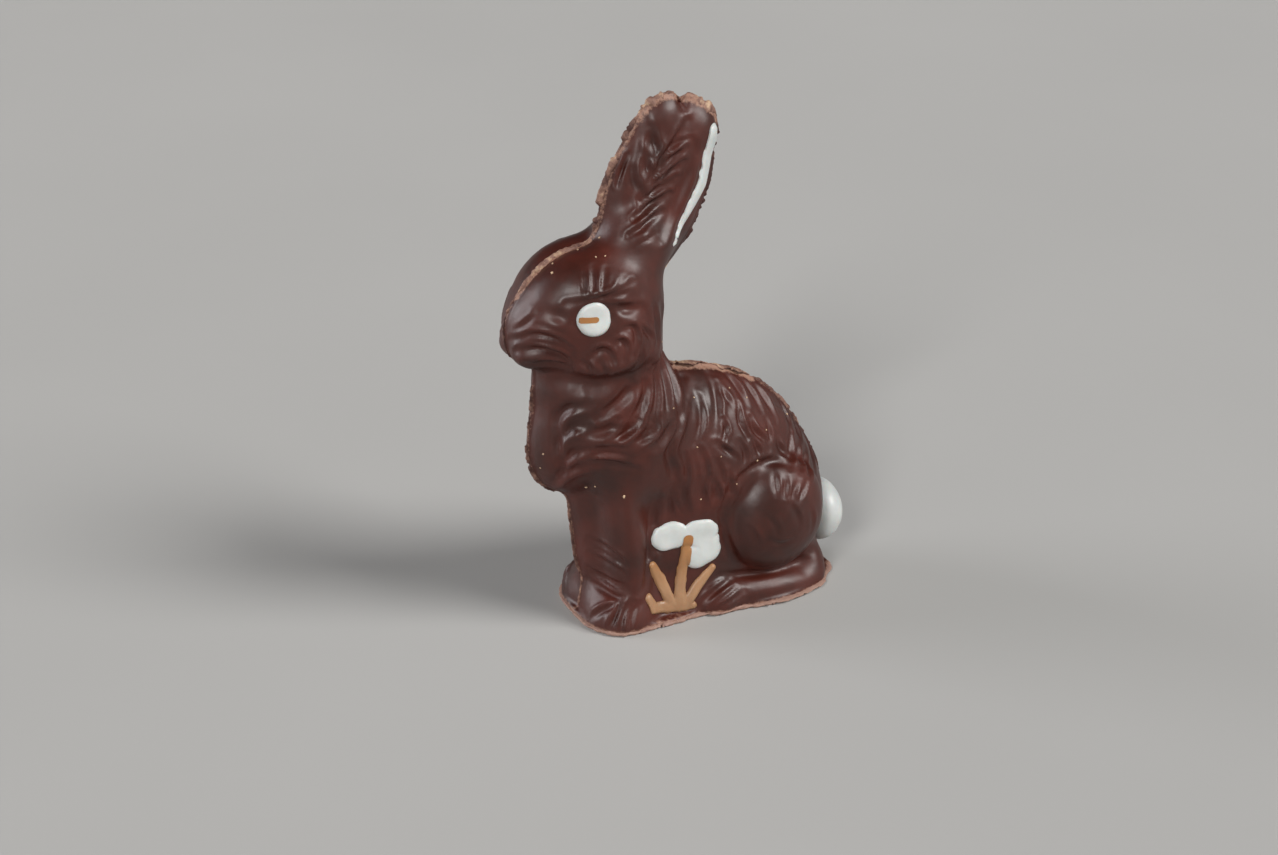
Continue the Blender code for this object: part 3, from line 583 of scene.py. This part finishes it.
# Where the flash was broken off along the seam: start and end in the parting plane, half width
# and height, how far its left edge has lifted, how patchy it is, and how pale its break is
FLASH = (
    ("paw", (-25.0, 1.8), (-24.2, 8), 0.3, 0.4, 0.0, 0.6, 0.6),
    ("leg", (-24.1, 9), (-27.1, 28.5), 0.38, 0.35, 0.0, 0.6, 0.55),
    ("chest", (-27.6, 29.8), (-35.2, 58.5), 0.42, 0.5, 0.0, 0.9, 0.5),
    ("nose", (-38.6, 65.4), (-38.4, 80), 0.34, 0.3, 0.0, 0.8, 0.5),
    ("forehead", (-38, 80.8), (-21.4, 90.2), 0.62, 0.55, 0.0, 0.35, 0.75),
    ("ear front", (-20.9, 91), (-9.6, 116), 0.62, 0.9, 0.0, 0.9, 0.62),
    ("ear tip front", (-9.4, 116.6), (-0.9, 120.4), 1.15, 0.8, 0.0, 0.9, 0.7),
    ("ear tip back", (1.8, 120.3), (9.2, 113.4), 1.25, 0.7, 0.0, 0.8, 0.7),
    ("ear back", (9.5, 112), (1.2, 85.6), 0.5, 0.6, 0.0, 0.8, 0.3),
    ("nape", (-2, 81.8), (-5.4, 65), 0.24, 0.35, 0.0, 0.9, 0.95),
    ("back flake", (-3.4, 60.3), (7.6, 56.1), 1.5, 0.3, 1.2, 0.35, 0.8),
    ("second flake", (8.2, 55.9), (18.3, 51.2), 1.25, 0.3, 0.95, 0.5, 0.8),
    ("back", (18.8, 50.9), (31.3, 36.6), 0.4, 0.45, 0.0, 0.8, 0.55),
    ("rump", (31.6, 36), (37.2, 22.5), 0.28, 0.3, 0.0, 0.9, 0.35),
)


def evenly_spaced(line):
    """The line with its points one seam step apart."""
    passed = np.concatenate(([0], np.cumsum(np.linalg.norm(np.diff(line, axis=0), axis=1))))
    even = np.arange(0, passed[-1], SEAM_STEP)
    return np.stack([np.interp(even, passed, column) for column in line.T], axis=1)


def seam_outline(obj):
    """The outline in the parting plane, from the paws' front over the ears to the heel."""
    work = bmesh.new()
    work.from_mesh(obj.data)
    parts = work.verts[:] + work.edges[:] + work.faces[:]
    cut = bmesh.ops.bisect_plane(work, geom=parts, plane_co=(0.02 * MM, 0, 0), plane_no=(1, 0, 0))
    beside = {}
    for edge in (part for part in cut["geom_cut"] if isinstance(part, bmesh.types.BMEdge)):
        for one, other in (edge.verts, reversed(edge.verts)):
            beside.setdefault(one, []).append(other)
    here = min(beside, key=lambda v: (v.co - Vector((0, -25.2, 1.5)) * MM).length)
    ahead = max(beside[here], key=lambda v: v.co.z)
    walked = [here]
    seen = {here}
    while ahead is not None:
        walked.append(ahead)
        seen.add(ahead)
        ahead = next((v for v in beside[ahead] if v not in seen), None)
    line = np.array([vertex.co[1:] for vertex in walked]) / MM
    work.free()
    return evenly_spaced(line)


def seam_stretch(start, end):
    """The first and last index of the seam between two places near it."""
    return [int(np.argmin(np.hypot(*(seam - place).T))) for place in (start, end)]


def mark_scraped(obj, shares):
    """Keeps, for the materials, how much of the break shows at each vertex."""
    layer = obj.data.attributes.new("scraped", "FLOAT", "POINT")
    layer.data.foreach_set("value", shares.astype(np.float32))


RUBBED_BAND = 4
seam = seam_outline(casting)
sculpted = mesh_points(casting)
scraped = np.zeros(len(sculpted))
beside_seam = np.flatnonzero(np.abs(sculpted[:, 0]) < RUBBED_BAND)
for _, start, end, half_width, _, _, _, pale in FLASH:
    first, last = seam_stretch(start, end)
    flat = sculpted[beside_seam][:, 1:]
    nearest = np.full(len(flat), np.inf)
    for place in seam[first:last + 1:SEAM_STRIDE]:
        nearest = np.minimum(nearest, np.hypot(*(flat - place).T))
    across = np.hypot(sculpted[beside_seam, 0], np.maximum(nearest - 0.6, 0))
    share = pale * np.clip((1.7 * half_width + 0.5 - across) / (0.9 * half_width + 0.3), 0, 1)
    scraped[beside_seam] = np.maximum(scraped[beside_seam], share)
mark_scraped(casting, scraped)

# Dark chocolate: cocoa butter sets to a half-gloss skin, deep red-brown, with cloudy dull patches
# where it left the mould late. The rim at the foot and the strip beside the flash are rubbed pale.
dark_chocolate, surface = new_material("tempered_dark_chocolate")
place = add_node(dark_chocolate, "TexCoord", {}).outputs["Object"]
patch = add_node(dark_chocolate, "TexNoise", {
    "Vector": place, "Scale": 1 / (11 * MM), "Detail": 3.0, "Roughness": 0.55,
}).outputs["Fac"]
grain = add_node(dark_chocolate, "TexNoise", {
    "Vector": place, "Scale": 1 / (1.1 * MM), "Detail": 4.0, "Roughness": 0.6,
}).outputs["Fac"]
cocoa = add_node(dark_chocolate, "ValToRGB", {"Fac": patch})
cocoa.color_ramp.elements[0].position = 0.33
cocoa.color_ramp.elements[0].color = linear("#30120a")
cocoa.color_ramp.elements[1].position = 0.68
cocoa.color_ramp.elements[1].color = linear("#471a10")
height = add_node(dark_chocolate, "SeparateXYZ", {"Vector": place}).outputs["Z"]
ragged = add_node(dark_chocolate, "Math", {0: grain, 1: 1.6 * MM}, operation="MULTIPLY").outputs[0]
rim_height = add_node(dark_chocolate, "Math", {0: height, 1: ragged}, operation="SUBTRACT").outputs[0]
rim = add_node(dark_chocolate, "MapRange", {
    "Value": rim_height, "From Min": 0.1 * MM, "From Max": 0.7 * MM, "To Min": 0.75, "To Max": 0.0,
}).outputs["Result"]
beside_flash = add_node(dark_chocolate, "Attribute", {}, attribute_name="scraped").outputs["Fac"]
flecks = add_node(dark_chocolate, "TexNoise", {
    "Vector": place, "Scale": 1 / (0.8 * MM), "Detail": 3.0, "Roughness": 0.7,
}).outputs["Fac"]
patchy = add_node(dark_chocolate, "Math", {0: flecks, 1: beside_flash}, operation="ADD").outputs[0]
rubbed = add_node(dark_chocolate, "MapRange", {
    "Value": patchy, "From Min": 0.95, "From Max": 1.25, "To Min": 0.0, "To Max": 0.8,
}).outputs["Result"]
rim = add_node(dark_chocolate, "Math", {0: rim, 1: rubbed}, operation="MAXIMUM").outputs[0]
trimmed = add_node(dark_chocolate, "MixRGB", {
    "Fac": rim, "Color1": cocoa.outputs["Color"], "Color2": linear("#9a7563"),
})
dark_chocolate.node_tree.links.new(trimmed.outputs["Color"], surface.inputs["Base Color"])
gloss = add_node(dark_chocolate, "MapRange", {
    "Value": patch, "From Min": 0.3, "From Max": 0.7, "To Min": 0.39, "To Max": 0.51,
}).outputs["Result"]
dulled = add_node(dark_chocolate, "MixRGB", {
    "Fac": rim, "Color1": gloss, "Color2": (0.7, 0.7, 0.7, 1),
})
dark_chocolate.node_tree.links.new(dulled.outputs["Color"], surface.inputs["Roughness"])
ripple = add_node(dark_chocolate, "Bump", {"Height": grain, "Strength": 0.25, "Distance": 0.12 * MM})
dark_chocolate.node_tree.links.new(ripple.outputs["Normal"], surface.inputs["Normal"])
surface.inputs["IOR"].default_value = 1.44
surface.inputs["Coat Weight"].default_value = 0.05
surface.inputs["Coat Roughness"].default_value = 0.3
surface.inputs["Subsurface Weight"].default_value = 0.06
surface.inputs["Subsurface Scale"].default_value = 1.5 * MM

casting.data.materials.clear()
casting.data.materials.append(dark_chocolate)
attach(casting, "root")
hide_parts("rabbit_body")

# White chocolate inlays
# Eye, ear stripe and petals were painted into the empty mould with white chocolate, so they lie in
# the surface, a little swollen, with an edge as uneven as the brush left it.
PAINT_SINK = 0.6
PATCH_MARGIN = 0.5
PAINT_EDGE_ANGLE = 50
BRUSH_DRIFT = 1.7
RIM_STEP = 0.01


def extrude_all(offset):
    """Extrudes the whole of the active mesh by this offset."""
    bpy.ops.object.mode_set(mode="EDIT")
    bpy.ops.mesh.select_all(action="SELECT")
    bpy.ops.mesh.extrude_region_move(TRANSFORM_OT_translate={"value": offset})
    bpy.ops.object.mode_set(mode="OBJECT")


def face_outwards(sharp_degrees):
    """Turns the faces of the active closed mesh outwards, smooth but for edges sharper than this."""
    bpy.ops.object.mode_set(mode="EDIT")
    bpy.ops.mesh.select_all(action="SELECT")
    bpy.ops.mesh.normals_make_consistent(inside=False)
    bpy.ops.object.mode_set(mode="OBJECT")
    bpy.ops.object.shade_smooth_by_angle(angle=math.radians(sharp_degrees))


def painted_outline(chains, wobble, seed):
    """The chains' outline as a brush leaves it, up to wobble millimetres off."""
    def outline(flat):
        drift = [noise.noise(Vector((y / BRUSH_DRIFT, z / BRUSH_DRIFT, seed))) for y, z in flat]
        return chain_distance(flat, chains) + wobble * np.array(drift)
    return outline


def lobed_swell(chains, rim, top, edge):
    """How thick the paint is: each chain is a lobe of its own, with creases between them."""
    def swell(flat):
        thick = np.full(len(flat), rim)
        for chain in chains:
            inside = np.clip(-chain_distance(flat, (chain,)) / edge, 0, 1)
            thick = np.maximum(thick, rim + (top - rim) * np.sqrt(1 - (1 - inside) ** 2))
        return thick
    return swell


def outline_patch(name, outline, low, high, cell):
    """A flat sheet in the side view's plane: a grid cut to an outline, its rim moved onto it."""
    span = np.array(high) - low
    cells = np.ceil(span / cell).astype(int)
    bpy.ops.object.select_all(action="DESELECT")
    bpy.ops.mesh.primitive_grid_add(
        x_subdivisions=int(cells[0]), y_subdivisions=int(cells[1]), size=1,
    )
    patch_object = bpy.context.object
    patch_object.name = name
    flat = mesh_points(patch_object)[:, :2] * MM * cells * cell + low + span / 2
    set_mesh_points(patch_object, np.column_stack((np.zeros(len(flat)), flat)))
    work = bmesh.new()
    work.from_mesh(patch_object.data)
    middles = np.array([face.calc_center_median()[1:] for face in work.faces]) / MM
    outside = [face for face, away in zip(list(work.faces), outline(middles)) if away > -0.1 * cell]
    bmesh.ops.delete(work, geom=outside, context="FACES")
    while True:
        pinched = [v for v in work.verts if len(v.link_edges) - len(v.link_faces) > 1]
        if not pinched:
            break
        bmesh.ops.delete(work, geom=[v.link_faces[0] for v in pinched], context="FACES")
    rim = [v for v in work.verts if v.is_boundary]
    for _ in range(4):
        flat = np.array([v.co[1:] for v in rim]) / MM
        away = outline(flat)
        moved = [outline(flat + step) for step in np.eye(2) * RIM_STEP]
        slope = np.stack([(there - away) / RIM_STEP for there in moved], axis=1)
        flat -= slope * (away / np.maximum((slope**2).sum(axis=1), 0.2))[:, None]
        for vertex, (y, z) in zip(rim, flat):
            vertex.co = (0, y * MM, z * MM)
    inner = [v for v in work.verts if not v.is_boundary]
    for _ in range(3):
        bmesh.ops.smooth_vert(work, verts=inner, factor=0.5, use_axis_y=True, use_axis_z=True)
    work.to_mesh(patch_object.data)
    work.free()
    return patch_object


def painted_inlay(name, node, chains, outline, swell, material, cell=0.3):
    """Lays a patch of painted chocolate on the casting's left or right side, and closes it below."""
    dots = np.array([dot for chain in chains for dot in chain])
    low = (dots[:, :2] - dots[:, 2:]).min(axis=0) - PATCH_MARGIN
    high = (dots[:, :2] + dots[:, 2:]).max(axis=0) + PATCH_MARGIN
    inlay = outline_patch(name, outline, low, high, cell)
    extrude_all((1 * MM, 0, 0))
    flat = mesh_points(inlay)
    hits = [seen_from_left(plain_tree, y, z) for _, y, z in flat]
    ground = np.array([hit if hit is not None else (0, y, z) for hit, (_, y, z) in zip(hits, flat)])
    thick = np.where(flat[:, 0] > 0.5, swell(flat[:, 1:]), -PAINT_SINK)
    laid = ground + outward(ground) * thick[:, None]
    if node.endswith("right"):
        laid[:, 0] *= -1
    set_mesh_points(inlay, laid)
    face_outwards(PAINT_EDGE_ANGLE)
    inlay.data.materials.append(material)
    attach(inlay, "root")
    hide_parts(node)


def chocolate_paint(name, low_colour, high_colour, roughness):
    """Coloured cocoa butter: waxy, faintly cloudy, with the pores and drag of the brush."""
    material, surface = new_material(name)
    place = add_node(material, "TexCoord", {}).outputs["Object"]
    cloud = add_node(material, "TexNoise", {
        "Vector": place, "Scale": 1 / (3.2 * MM), "Detail": 3.0, "Roughness": 0.5,
    }).outputs["Fac"]
    colour = add_node(material, "ValToRGB", {"Fac": cloud})
    colour.color_ramp.elements[0].position = 0.35
    colour.color_ramp.elements[0].color = linear(low_colour)
    colour.color_ramp.elements[1].position = 0.65
    colour.color_ramp.elements[1].color = linear(high_colour)
    material.node_tree.links.new(colour.outputs["Color"], surface.inputs["Base Color"])
    dull = add_node(material, "MapRange", {
        "Value": cloud, "From Min": 0.3, "From Max": 0.7,
        "To Min": roughness - 0.06, "To Max": roughness + 0.08,
    })
    material.node_tree.links.new(dull.outputs["Result"], surface.inputs["Roughness"])
    pores = add_node(material, "TexNoise", {
        "Vector": place, "Scale": 1 / (0.9 * MM), "Detail": 3.0, "Roughness": 0.55,
    }).outputs["Fac"]
    bump = add_node(material, "Bump", {"Height": pores, "Strength": 0.3, "Distance": 0.1 * MM})
    material.node_tree.links.new(bump.outputs["Normal"], surface.inputs["Normal"])
    return material, surface


white_chocolate, surface = chocolate_paint("painted_white_chocolate", "#b4b7b5", "#bdc0be", 0.4)
surface.inputs["Subsurface Weight"].default_value = 0.15
surface.inputs["Subsurface Scale"].default_value = 1.2 * MM

eye_swell = lobed_swell(EYE, rim=0.15, top=1.35, edge=3.4)
stripe_swell = lobed_swell(EAR_STRIPE, rim=0.1, top=0.6, edge=1.0)
petal_swell = lobed_swell(PETALS, rim=0.15, top=0.95, edge=2.2)
for side, seed in (("left", 3), ("right", 9)):
    for name, node, chains, wobble, swell in (
        ("white_eye", "eye", EYE, 0.1, eye_swell),
        ("white_ear_edge", "ear_stripe", EAR_STRIPE, 0.45, stripe_swell),
        ("white_petals", "flower", PETALS, 0.25, petal_swell),
    ):
        painted_inlay(
            f"{name}_{side}", f"{node}_{side}", chains, painted_outline(chains, wobble, seed),
            swell, white_chocolate,
        )

# Caramel chocolate inlays
# The slit of the eye, the flower's stem and its leaves were painted first, in caramel-coloured
# chocolate, so they lie on top of the white. The brush ran out of colour towards the ground.
PUPIL = (((-28.3, 77.4, 0.8), (-25.3, 77.15, 0.85)),)


def over(own, under, outline, proud):
    """The paint's own swell, or a film over the paint that it crosses."""
    def swell(flat):
        crossing = np.clip(-outline(flat) / 0.3, 0, 1)
        return np.maximum(own(flat), (under(flat) + proud) * crossing)
    return swell


caramel, surface = chocolate_paint("painted_caramel_chocolate", "#8c694c", "#9a7555", 0.45)
place = add_node(caramel, "TexCoord", {}).outputs["Object"]
level = add_node(caramel, "SeparateXYZ", {"Vector": place}).outputs["Z"]
orange_share = add_node(caramel, "MapRange", {
    "Value": level, "From Min": 8 * MM, "From Max": 20 * MM, "To Min": 0.0, "To Max": 0.85,
}).outputs["Result"]
ramp = next(node for node in caramel.node_tree.nodes if node.type == "VALTORGB")
deeper = add_node(caramel, "MixRGB", {
    "Fac": orange_share, "Color1": ramp.outputs["Color"], "Color2": linear("#976534"),
})
caramel.node_tree.links.new(deeper.outputs["Color"], surface.inputs["Base Color"])
surface.inputs["Subsurface Weight"].default_value = 0.1
surface.inputs["Subsurface Scale"].default_value = 1.0 * MM

slit_swell = lobed_swell(PUPIL, rim=0.1, top=0.3, edge=0.5)
stem_swell = lobed_swell(STEMS, rim=0.1, top=0.7, edge=1.0)
slit_over_eye = over(slit_swell, eye_swell, painted_outline(EYE, 0, 0), proud=0.1)
stem_over_petals = over(stem_swell, petal_swell, painted_outline(PETALS, 0, 0), proud=0.12)
for side, seed in (("left", 4), ("right", 8)):
    painted_inlay(
        f"caramel_slit_{side}", f"pupil_{side}", PUPIL, painted_outline(PUPIL, 0.08, seed),
        slit_over_eye, caramel, cell=0.16,
    )
    painted_inlay(
        f"caramel_stems_{side}", f"stems_{side}", STEMS, painted_outline(STEMS, 0.22, seed),
        stem_over_petals, caramel, cell=0.24,
    )

# The tail
# A bun of white chocolate fills the mould's tail pocket, half sunk into the rump.
# It is a ball flattened by the rump, a little lumpy, as smooth as the eye.
TAIL_HEIGHT = 13.8
TAIL_RADIUS = 7.4
TAIL_DEPTH = 5.4
TAIL_LUMPS = (0.025, 5, 6)
rump = casting_tree.ray_cast(Vector((0, FAR_OUT, TAIL_HEIGHT)), Vector((0, -1, 0)))[0]
bpy.ops.object.select_all(action="DESELECT")
bpy.ops.mesh.primitive_uv_sphere_add(segments=96, ring_count=48, radius=1)
tail = bpy.context.object
tail.name = "white_tail"
bpy.ops.object.mode_set(mode="EDIT")
bpy.ops.mesh.select_all(action="SELECT")
bpy.ops.transform.resize(value=(TAIL_RADIUS * MM, TAIL_DEPTH * MM, TAIL_RADIUS * MM))
bpy.ops.transform.translate(value=(0, rump.y * MM, TAIL_HEIGHT * MM))
bpy.ops.object.mode_set(mode="OBJECT")
points = mesh_points(tail)
middle = np.array((0, rump.y, TAIL_HEIGHT))
points = middle + (points - middle) * (1 + waviness(points, *TAIL_LUMPS))[:, None]
set_mesh_points(tail, points)
bpy.ops.object.shade_smooth()
tail.data.materials.append(white_chocolate)
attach(tail, "root")
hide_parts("tail")

# The seam's flash
# Chocolate squeezed out where the halves of the mould met and set as a thin fin. It was broken off
# by hand, so what is left is ragged, pale where it snapped, and some of it has lifted on the back.
BROKEN_EDGE_ANGLE = 38
FIN_SUNK = 0.5
LIFTED_THICKNESS = 0.25
THINNEST_HALF_WIDTH = 0.12
WIDE_FLAKE = 1

# How long the breaks along a fin are, and the crumbs on them: where it is gone, its sides, its top
GONE_LENGTHS = (3.4, 0.9)
SIDE_LENGTHS = (2.6, 0.6)
TOP_LENGTHS = (2.6, 0.7)
CRUMBLE = 0.09
CRUMBLE_SIZE = 0.45


def strip_grid(name, cells_along, cells_across):
    """A closed flat slab of one by one, of two layers a unit apart, to be bent into a strip."""
    bpy.ops.object.select_all(action="DESELECT")
    bpy.ops.mesh.primitive_grid_add(
        x_subdivisions=cells_along, y_subdivisions=cells_across, size=1 * MM,
    )
    strip = bpy.context.object
    strip.name = name
    extrude_all((0, 0, 1 * MM))
    return strip


def joined(name, pieces):
    """The pieces as one object of that name, each closed shell facing outwards."""
    bpy.ops.object.select_all(action="DESELECT")
    for piece in pieces:
        piece.select_set(True)
    bpy.context.view_layer.objects.active = pieces[0]
    bpy.ops.object.join()
    whole = bpy.context.object
    whole.name = name
    face_outwards(BROKEN_EDGE_ANGLE)
    return whole


def ragged_edge(place, seed, coarse, fine):
    """Noise along an edge: broken lengths of this coarse size, with fine crumbs on them."""
    broken = noise.noise(Vector((place / coarse, seed, 0.5)))
    crumbly = noise.noise(Vector((place / fine, seed, 7.5)))
    return 0.75 * broken + 0.4 * crumbly


def ragged_strip(name, line, normals, side_axis, shape, seed, pale):
    """A broken fin that follows a line on the casting: shape is half width, height, lift,
    patchiness and how crumbly its faces are."""
    half_width, height, lift, patchy, crumbly = shape
    along = len(line) - 1
    across = 6 if half_width < WIDE_FLAKE else 12
    strip = strip_grid(name, along, across)
    flat = mesh_points(strip)
    number = np.rint((flat[:, 0] + 0.5) * along).astype(int)
    share = flat[:, 1] * 2
    upper = flat[:, 2] > 0.5
    length = along * SEAM_STEP
    placed = np.empty_like(flat)
    for index, (row, a, top) in enumerate(zip(number, share, upper)):
        s = row * SEAM_STEP
        taper = min(1.0, min(s, length - s) / (1 + 2.5 * half_width) + 0.12)
        kept = 1 - patchy * max(0.0, min(1.0, (-0.05 - ragged_edge(s, seed, *GONE_LENGTHS)) / 0.25))
        wide = half_width * taper * (0.5 + 0.5 * kept)
        wide *= 1 + 0.7 * ragged_edge(s, seed + (3 if a > 0 else 9), *SIDE_LENGTHS)
        tall = height * taper * kept * (1 + 0.55 * ragged_edge(s, seed + 20, *TOP_LENGTHS))
        aside = side_axis * (a * max(wide, THINNEST_HALF_WIDTH))
        start = line[row] + aside + normals[row] * 5
        hit = casting_tree.ray_cast(Vector(start), Vector(-normals[row]), 9)[0]
        ground = np.array(hit) if hit is not None else line[row] + aside
        crown = (1 - abs(a) ** 5) * tall
        raised = lift * taper * kept * max(0.0, (a + 0.2) / 1.2) ** 1.5
        crumb = CRUMBLE * crumbly * noise.noise(Vector(ground) / CRUMBLE_SIZE)
        if top:
            placed[index] = ground + normals[row] * (max(crown, 0.02) + raised + crumb + 0.05)
        elif lift:
            placed[index] = ground + normals[row] * max(raised - LIFTED_THICKNESS, -FIN_SUNK)
        else:
            placed[index] = ground - normals[row] * FIN_SUNK
    set_mesh_points(strip, placed)
    mark_scraped(strip, np.where(upper, pale, pale * 0.55))
    return strip


# Broken chocolate: no skin from the mould, so it is dull and pale with air and fat at the break,
# from a pinkish brown to tan, darker where the fin is whole, and greasy and pinkish at the foot.
broken_chocolate, surface = new_material("broken_dark_chocolate")
place = add_node(broken_chocolate, "TexCoord", {}).outputs["Object"]
crumb_grain = add_node(broken_chocolate, "TexNoise", {
    "Vector": place, "Scale": 1 / (1.3 * MM), "Detail": 5.0, "Roughness": 0.65,
}).outputs["Fac"]
pale_share = add_node(broken_chocolate, "Attribute", {}, attribute_name="scraped").outputs["Fac"]
blotch = add_node(broken_chocolate, "TexNoise", {
    "Vector": place, "Scale": 1 / (3.5 * MM), "Detail": 2.0, "Roughness": 0.5,
}).outputs["Fac"]
mottled = add_node(broken_chocolate, "Math", {0: crumb_grain, 1: blotch}, operation="ADD").outputs[0]
shade = add_node(broken_chocolate, "Math", {0: mottled, 1: pale_share}, operation="ADD").outputs[0]
tan = add_node(broken_chocolate, "ValToRGB", {
    "Fac": add_node(broken_chocolate, "MapRange", {
        "Value": shade, "From Min": 1.3, "From Max": 2.15,
    }).outputs["Result"],
})
tan.color_ramp.elements[0].position = 0.1
tan.color_ramp.elements[0].color = linear("#3a1a13")
tan.color_ramp.elements[1].position = 0.9
tan.color_ramp.elements[1].color = linear("#b99d80")
middle_tone = tan.color_ramp.elements.new(0.5)
middle_tone.color = linear("#7a594c")
height = add_node(broken_chocolate, "SeparateXYZ", {"Vector": place}).outputs["Z"]
by_the_plate = add_node(broken_chocolate, "MapRange", {
    "Value": height, "From Min": 1.6 * MM, "From Max": 3 * MM, "To Min": 0.75, "To Max": 0.0,
}).outputs["Result"]
greased = add_node(broken_chocolate, "MixRGB", {
    "Fac": by_the_plate, "Color1": tan.outputs["Color"], "Color2": linear("#7f5d59"),
})
broken_chocolate.node_tree.links.new(greased.outputs["Color"], surface.inputs["Base Color"])
surface.inputs["Roughness"].default_value = 0.68
pitted = add_node(broken_chocolate, "Bump", {
    "Height": crumb_grain, "Strength": 0.6, "Distance": 0.2 * MM,
})
broken_chocolate.node_tree.links.new(pitted.outputs["Normal"], surface.inputs["Normal"])

fins = []
for number, (name, start, end, half_width, height, lift, patchy, pale) in enumerate(FLASH):
    first, last = seam_stretch(start, end)
    flat_line = seam[first:last + 1]
    places = np.arange(first, last + 1)
    ahead = seam[np.minimum(places + SEAM_STRIDE, len(seam) - 1)]
    tangent = ahead - seam[np.maximum(places - SEAM_STRIDE, 0)]
    tangent /= np.linalg.norm(tangent, axis=1, keepdims=True)
    line = np.column_stack((np.zeros(len(flat_line)), flat_line))
    normals = np.column_stack((np.zeros(len(flat_line)), -tangent[:, 1], tangent[:, 0]))
    fins.append(ragged_strip(
        "fin_" + name.replace(" ", "_"), line, normals, np.array((1.0, 0, 0)),
        (half_width, height, lift, patchy, 1.0), 11.0 * number, pale,
    ))
seam_flash = joined("seam_flash", fins)
seam_flash.data.materials.append(broken_chocolate)
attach(seam_flash, "root")

# The foot's skirt
# The filled mould stood open on a plate, so the chocolate spread there into a thin lip round the
# ground plate. It was trimmed with a knife, which left it pale, uneven and torn at the left heel.
SKIRT_LEVEL = 0.6
SKIRT_RAYS = 2000
SKIRT_STRIDE = 4
TORN_LIP = (14.5, 33.5)
TORN_LIP_RISE = 0.35

# Half height, reach, lift, patchiness and how crumbly the faces are, then the seed and the paleness
SKIRT_SHAPE = ((0.5, 0.55, 0.0, 0.6, 0.35), 5.0, 1.1)
TORN_LIP_SHAPE = ((0.28, 1.15, 0.0, 0.5, 0.35), 31.0, 1.25)
angles = np.linspace(0, 2 * math.pi, SKIRT_RAYS)
rays = np.column_stack((np.sin(angles), -np.cos(angles), np.zeros(len(angles))))
origin = np.array((0, PLINTH_CENTRE_Y, SKIRT_LEVEL))
ring = evenly_spaced(np.array([
    casting_tree.ray_cast(Vector(origin + ray * FAR_OUT), Vector(-ray), FAR_OUT)[0] for ray in rays
]))
tangent = np.roll(ring, -SKIRT_STRIDE, axis=0) - np.roll(ring, SKIRT_STRIDE, axis=0)
tangent /= np.linalg.norm(tangent, axis=1, keepdims=True)
ring_normals = np.column_stack((tangent[:, 1], -tangent[:, 0], np.zeros(len(ring))))
upright = np.array((0, 0, 1.0))
skirt = ragged_strip("trimmed_skirt", ring, ring_normals, upright, *SKIRT_SHAPE)
points = mesh_points(skirt)
points[:, 2] = np.maximum(points[:, 2], 0)
set_mesh_points(skirt, points)
on_left = ring[:, 0] > 0
left_heel = np.flatnonzero(on_left & (ring[:, 1] > TORN_LIP[0]) & (ring[:, 1] < TORN_LIP[1]))
torn_lip = ragged_strip(
    "torn_lip", ring[left_heel] + upright * TORN_LIP_RISE, ring_normals[left_heel], upright,
    *TORN_LIP_SHAPE,
)
skirt = joined("trimmed_skirt", [skirt, torn_lip])
skirt.data.materials.append(broken_chocolate)
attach(skirt, "root")

# The crumbs
# Crumbs of the broken flash stick to the casting where they fell, pale tan and dull. Each is a copy
# of one small ball, flattened, pushed out of round, turned and sized, and lies half in the surface.
CRUMB_FLATNESS = (1, 0.8, 0.6)
CRUMB_LUMPS = (0.55, 0.9)
CRUMB_RISE = 0.3

# Near which place each crumb lies, and its radius
CRUMBS = (
    (12.9, -18.8, 34, 0.36), (7, -22.5, 88.7, 0.24), (7.5, -20.6, 88.8, 0.2),
    (4.9, -31.7, 85.9, 0.34), (10.3, -8.5, 68, 0.2), (12.7, -7, 53, 0.24),
    (12.7, -1, 42.4, 0.22), (13.1, 4.5, 39.3, 0.2), (12.9, 14.1, 36, 0.24),
    (14, 8.3, 32, 0.22), (13, -0.1, 29.6, 0.22), (9.6, 17.4, 41.6, 0.2),
    (2.7, 26.7, 40.9, 0.26), (7.7, 0.6, 52.1, 0.2), (5.6, 10.3, 51.6, 0.2),
    (6.7, 14.2, 49.1, 0.2), (11.9, -8.5, 4.7, 0.4), (7.1, -25.3, 35.2, 0.3),
    (8.7, -23.9, 35.6, 0.24), (4.6, -34.2, 44, 0.24), (3.4, -34.4, 40.2, 0.2),
    (2.4, -19.4, 90.9, 0.3), (1.9, -24.6, 89.6, 0.26), (2.2, -30.6, 87.2, 0.22),
)
bpy.ops.object.select_all(action="DESELECT")
bpy.ops.mesh.primitive_ico_sphere_add(subdivisions=2, radius=1 * MM)
first_crumb = bpy.context.object
first_crumb.name = "crumb"
points = mesh_points(first_crumb)
tumble = random.Random(3)
crumbs = []
for x, y, z, radius in CRUMBS:
    spot, facing = casting_tree.find_nearest(Vector((x, y, z)))[:2]
    spun = Matrix.Rotation(tumble.uniform(0, 6.3), 3, "Z")
    turned = np.array(facing.to_track_quat("Z", "Y").to_matrix() @ spun)
    crumb = bpy.data.objects.new("crumb", first_crumb.data.copy())
    bpy.context.scene.collection.objects.link(crumb)
    lumps = 1 + waviness(points, *CRUMB_LUMPS, tumble.uniform(1, 90))
    own = points * lumps[:, None] * CRUMB_FLATNESS
    set_mesh_points(crumb, own * radius @ turned.T + np.array(spot + facing * CRUMB_RISE * radius))
    crumbs.append(crumb)
bpy.data.objects.remove(first_crumb)
crumbs = joined("loose_crumbs", crumbs)
mark_scraped(crumbs, np.full(len(crumbs.data.vertices), 1.0))
crumbs.data.materials.append(broken_chocolate)
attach(crumbs, "root")
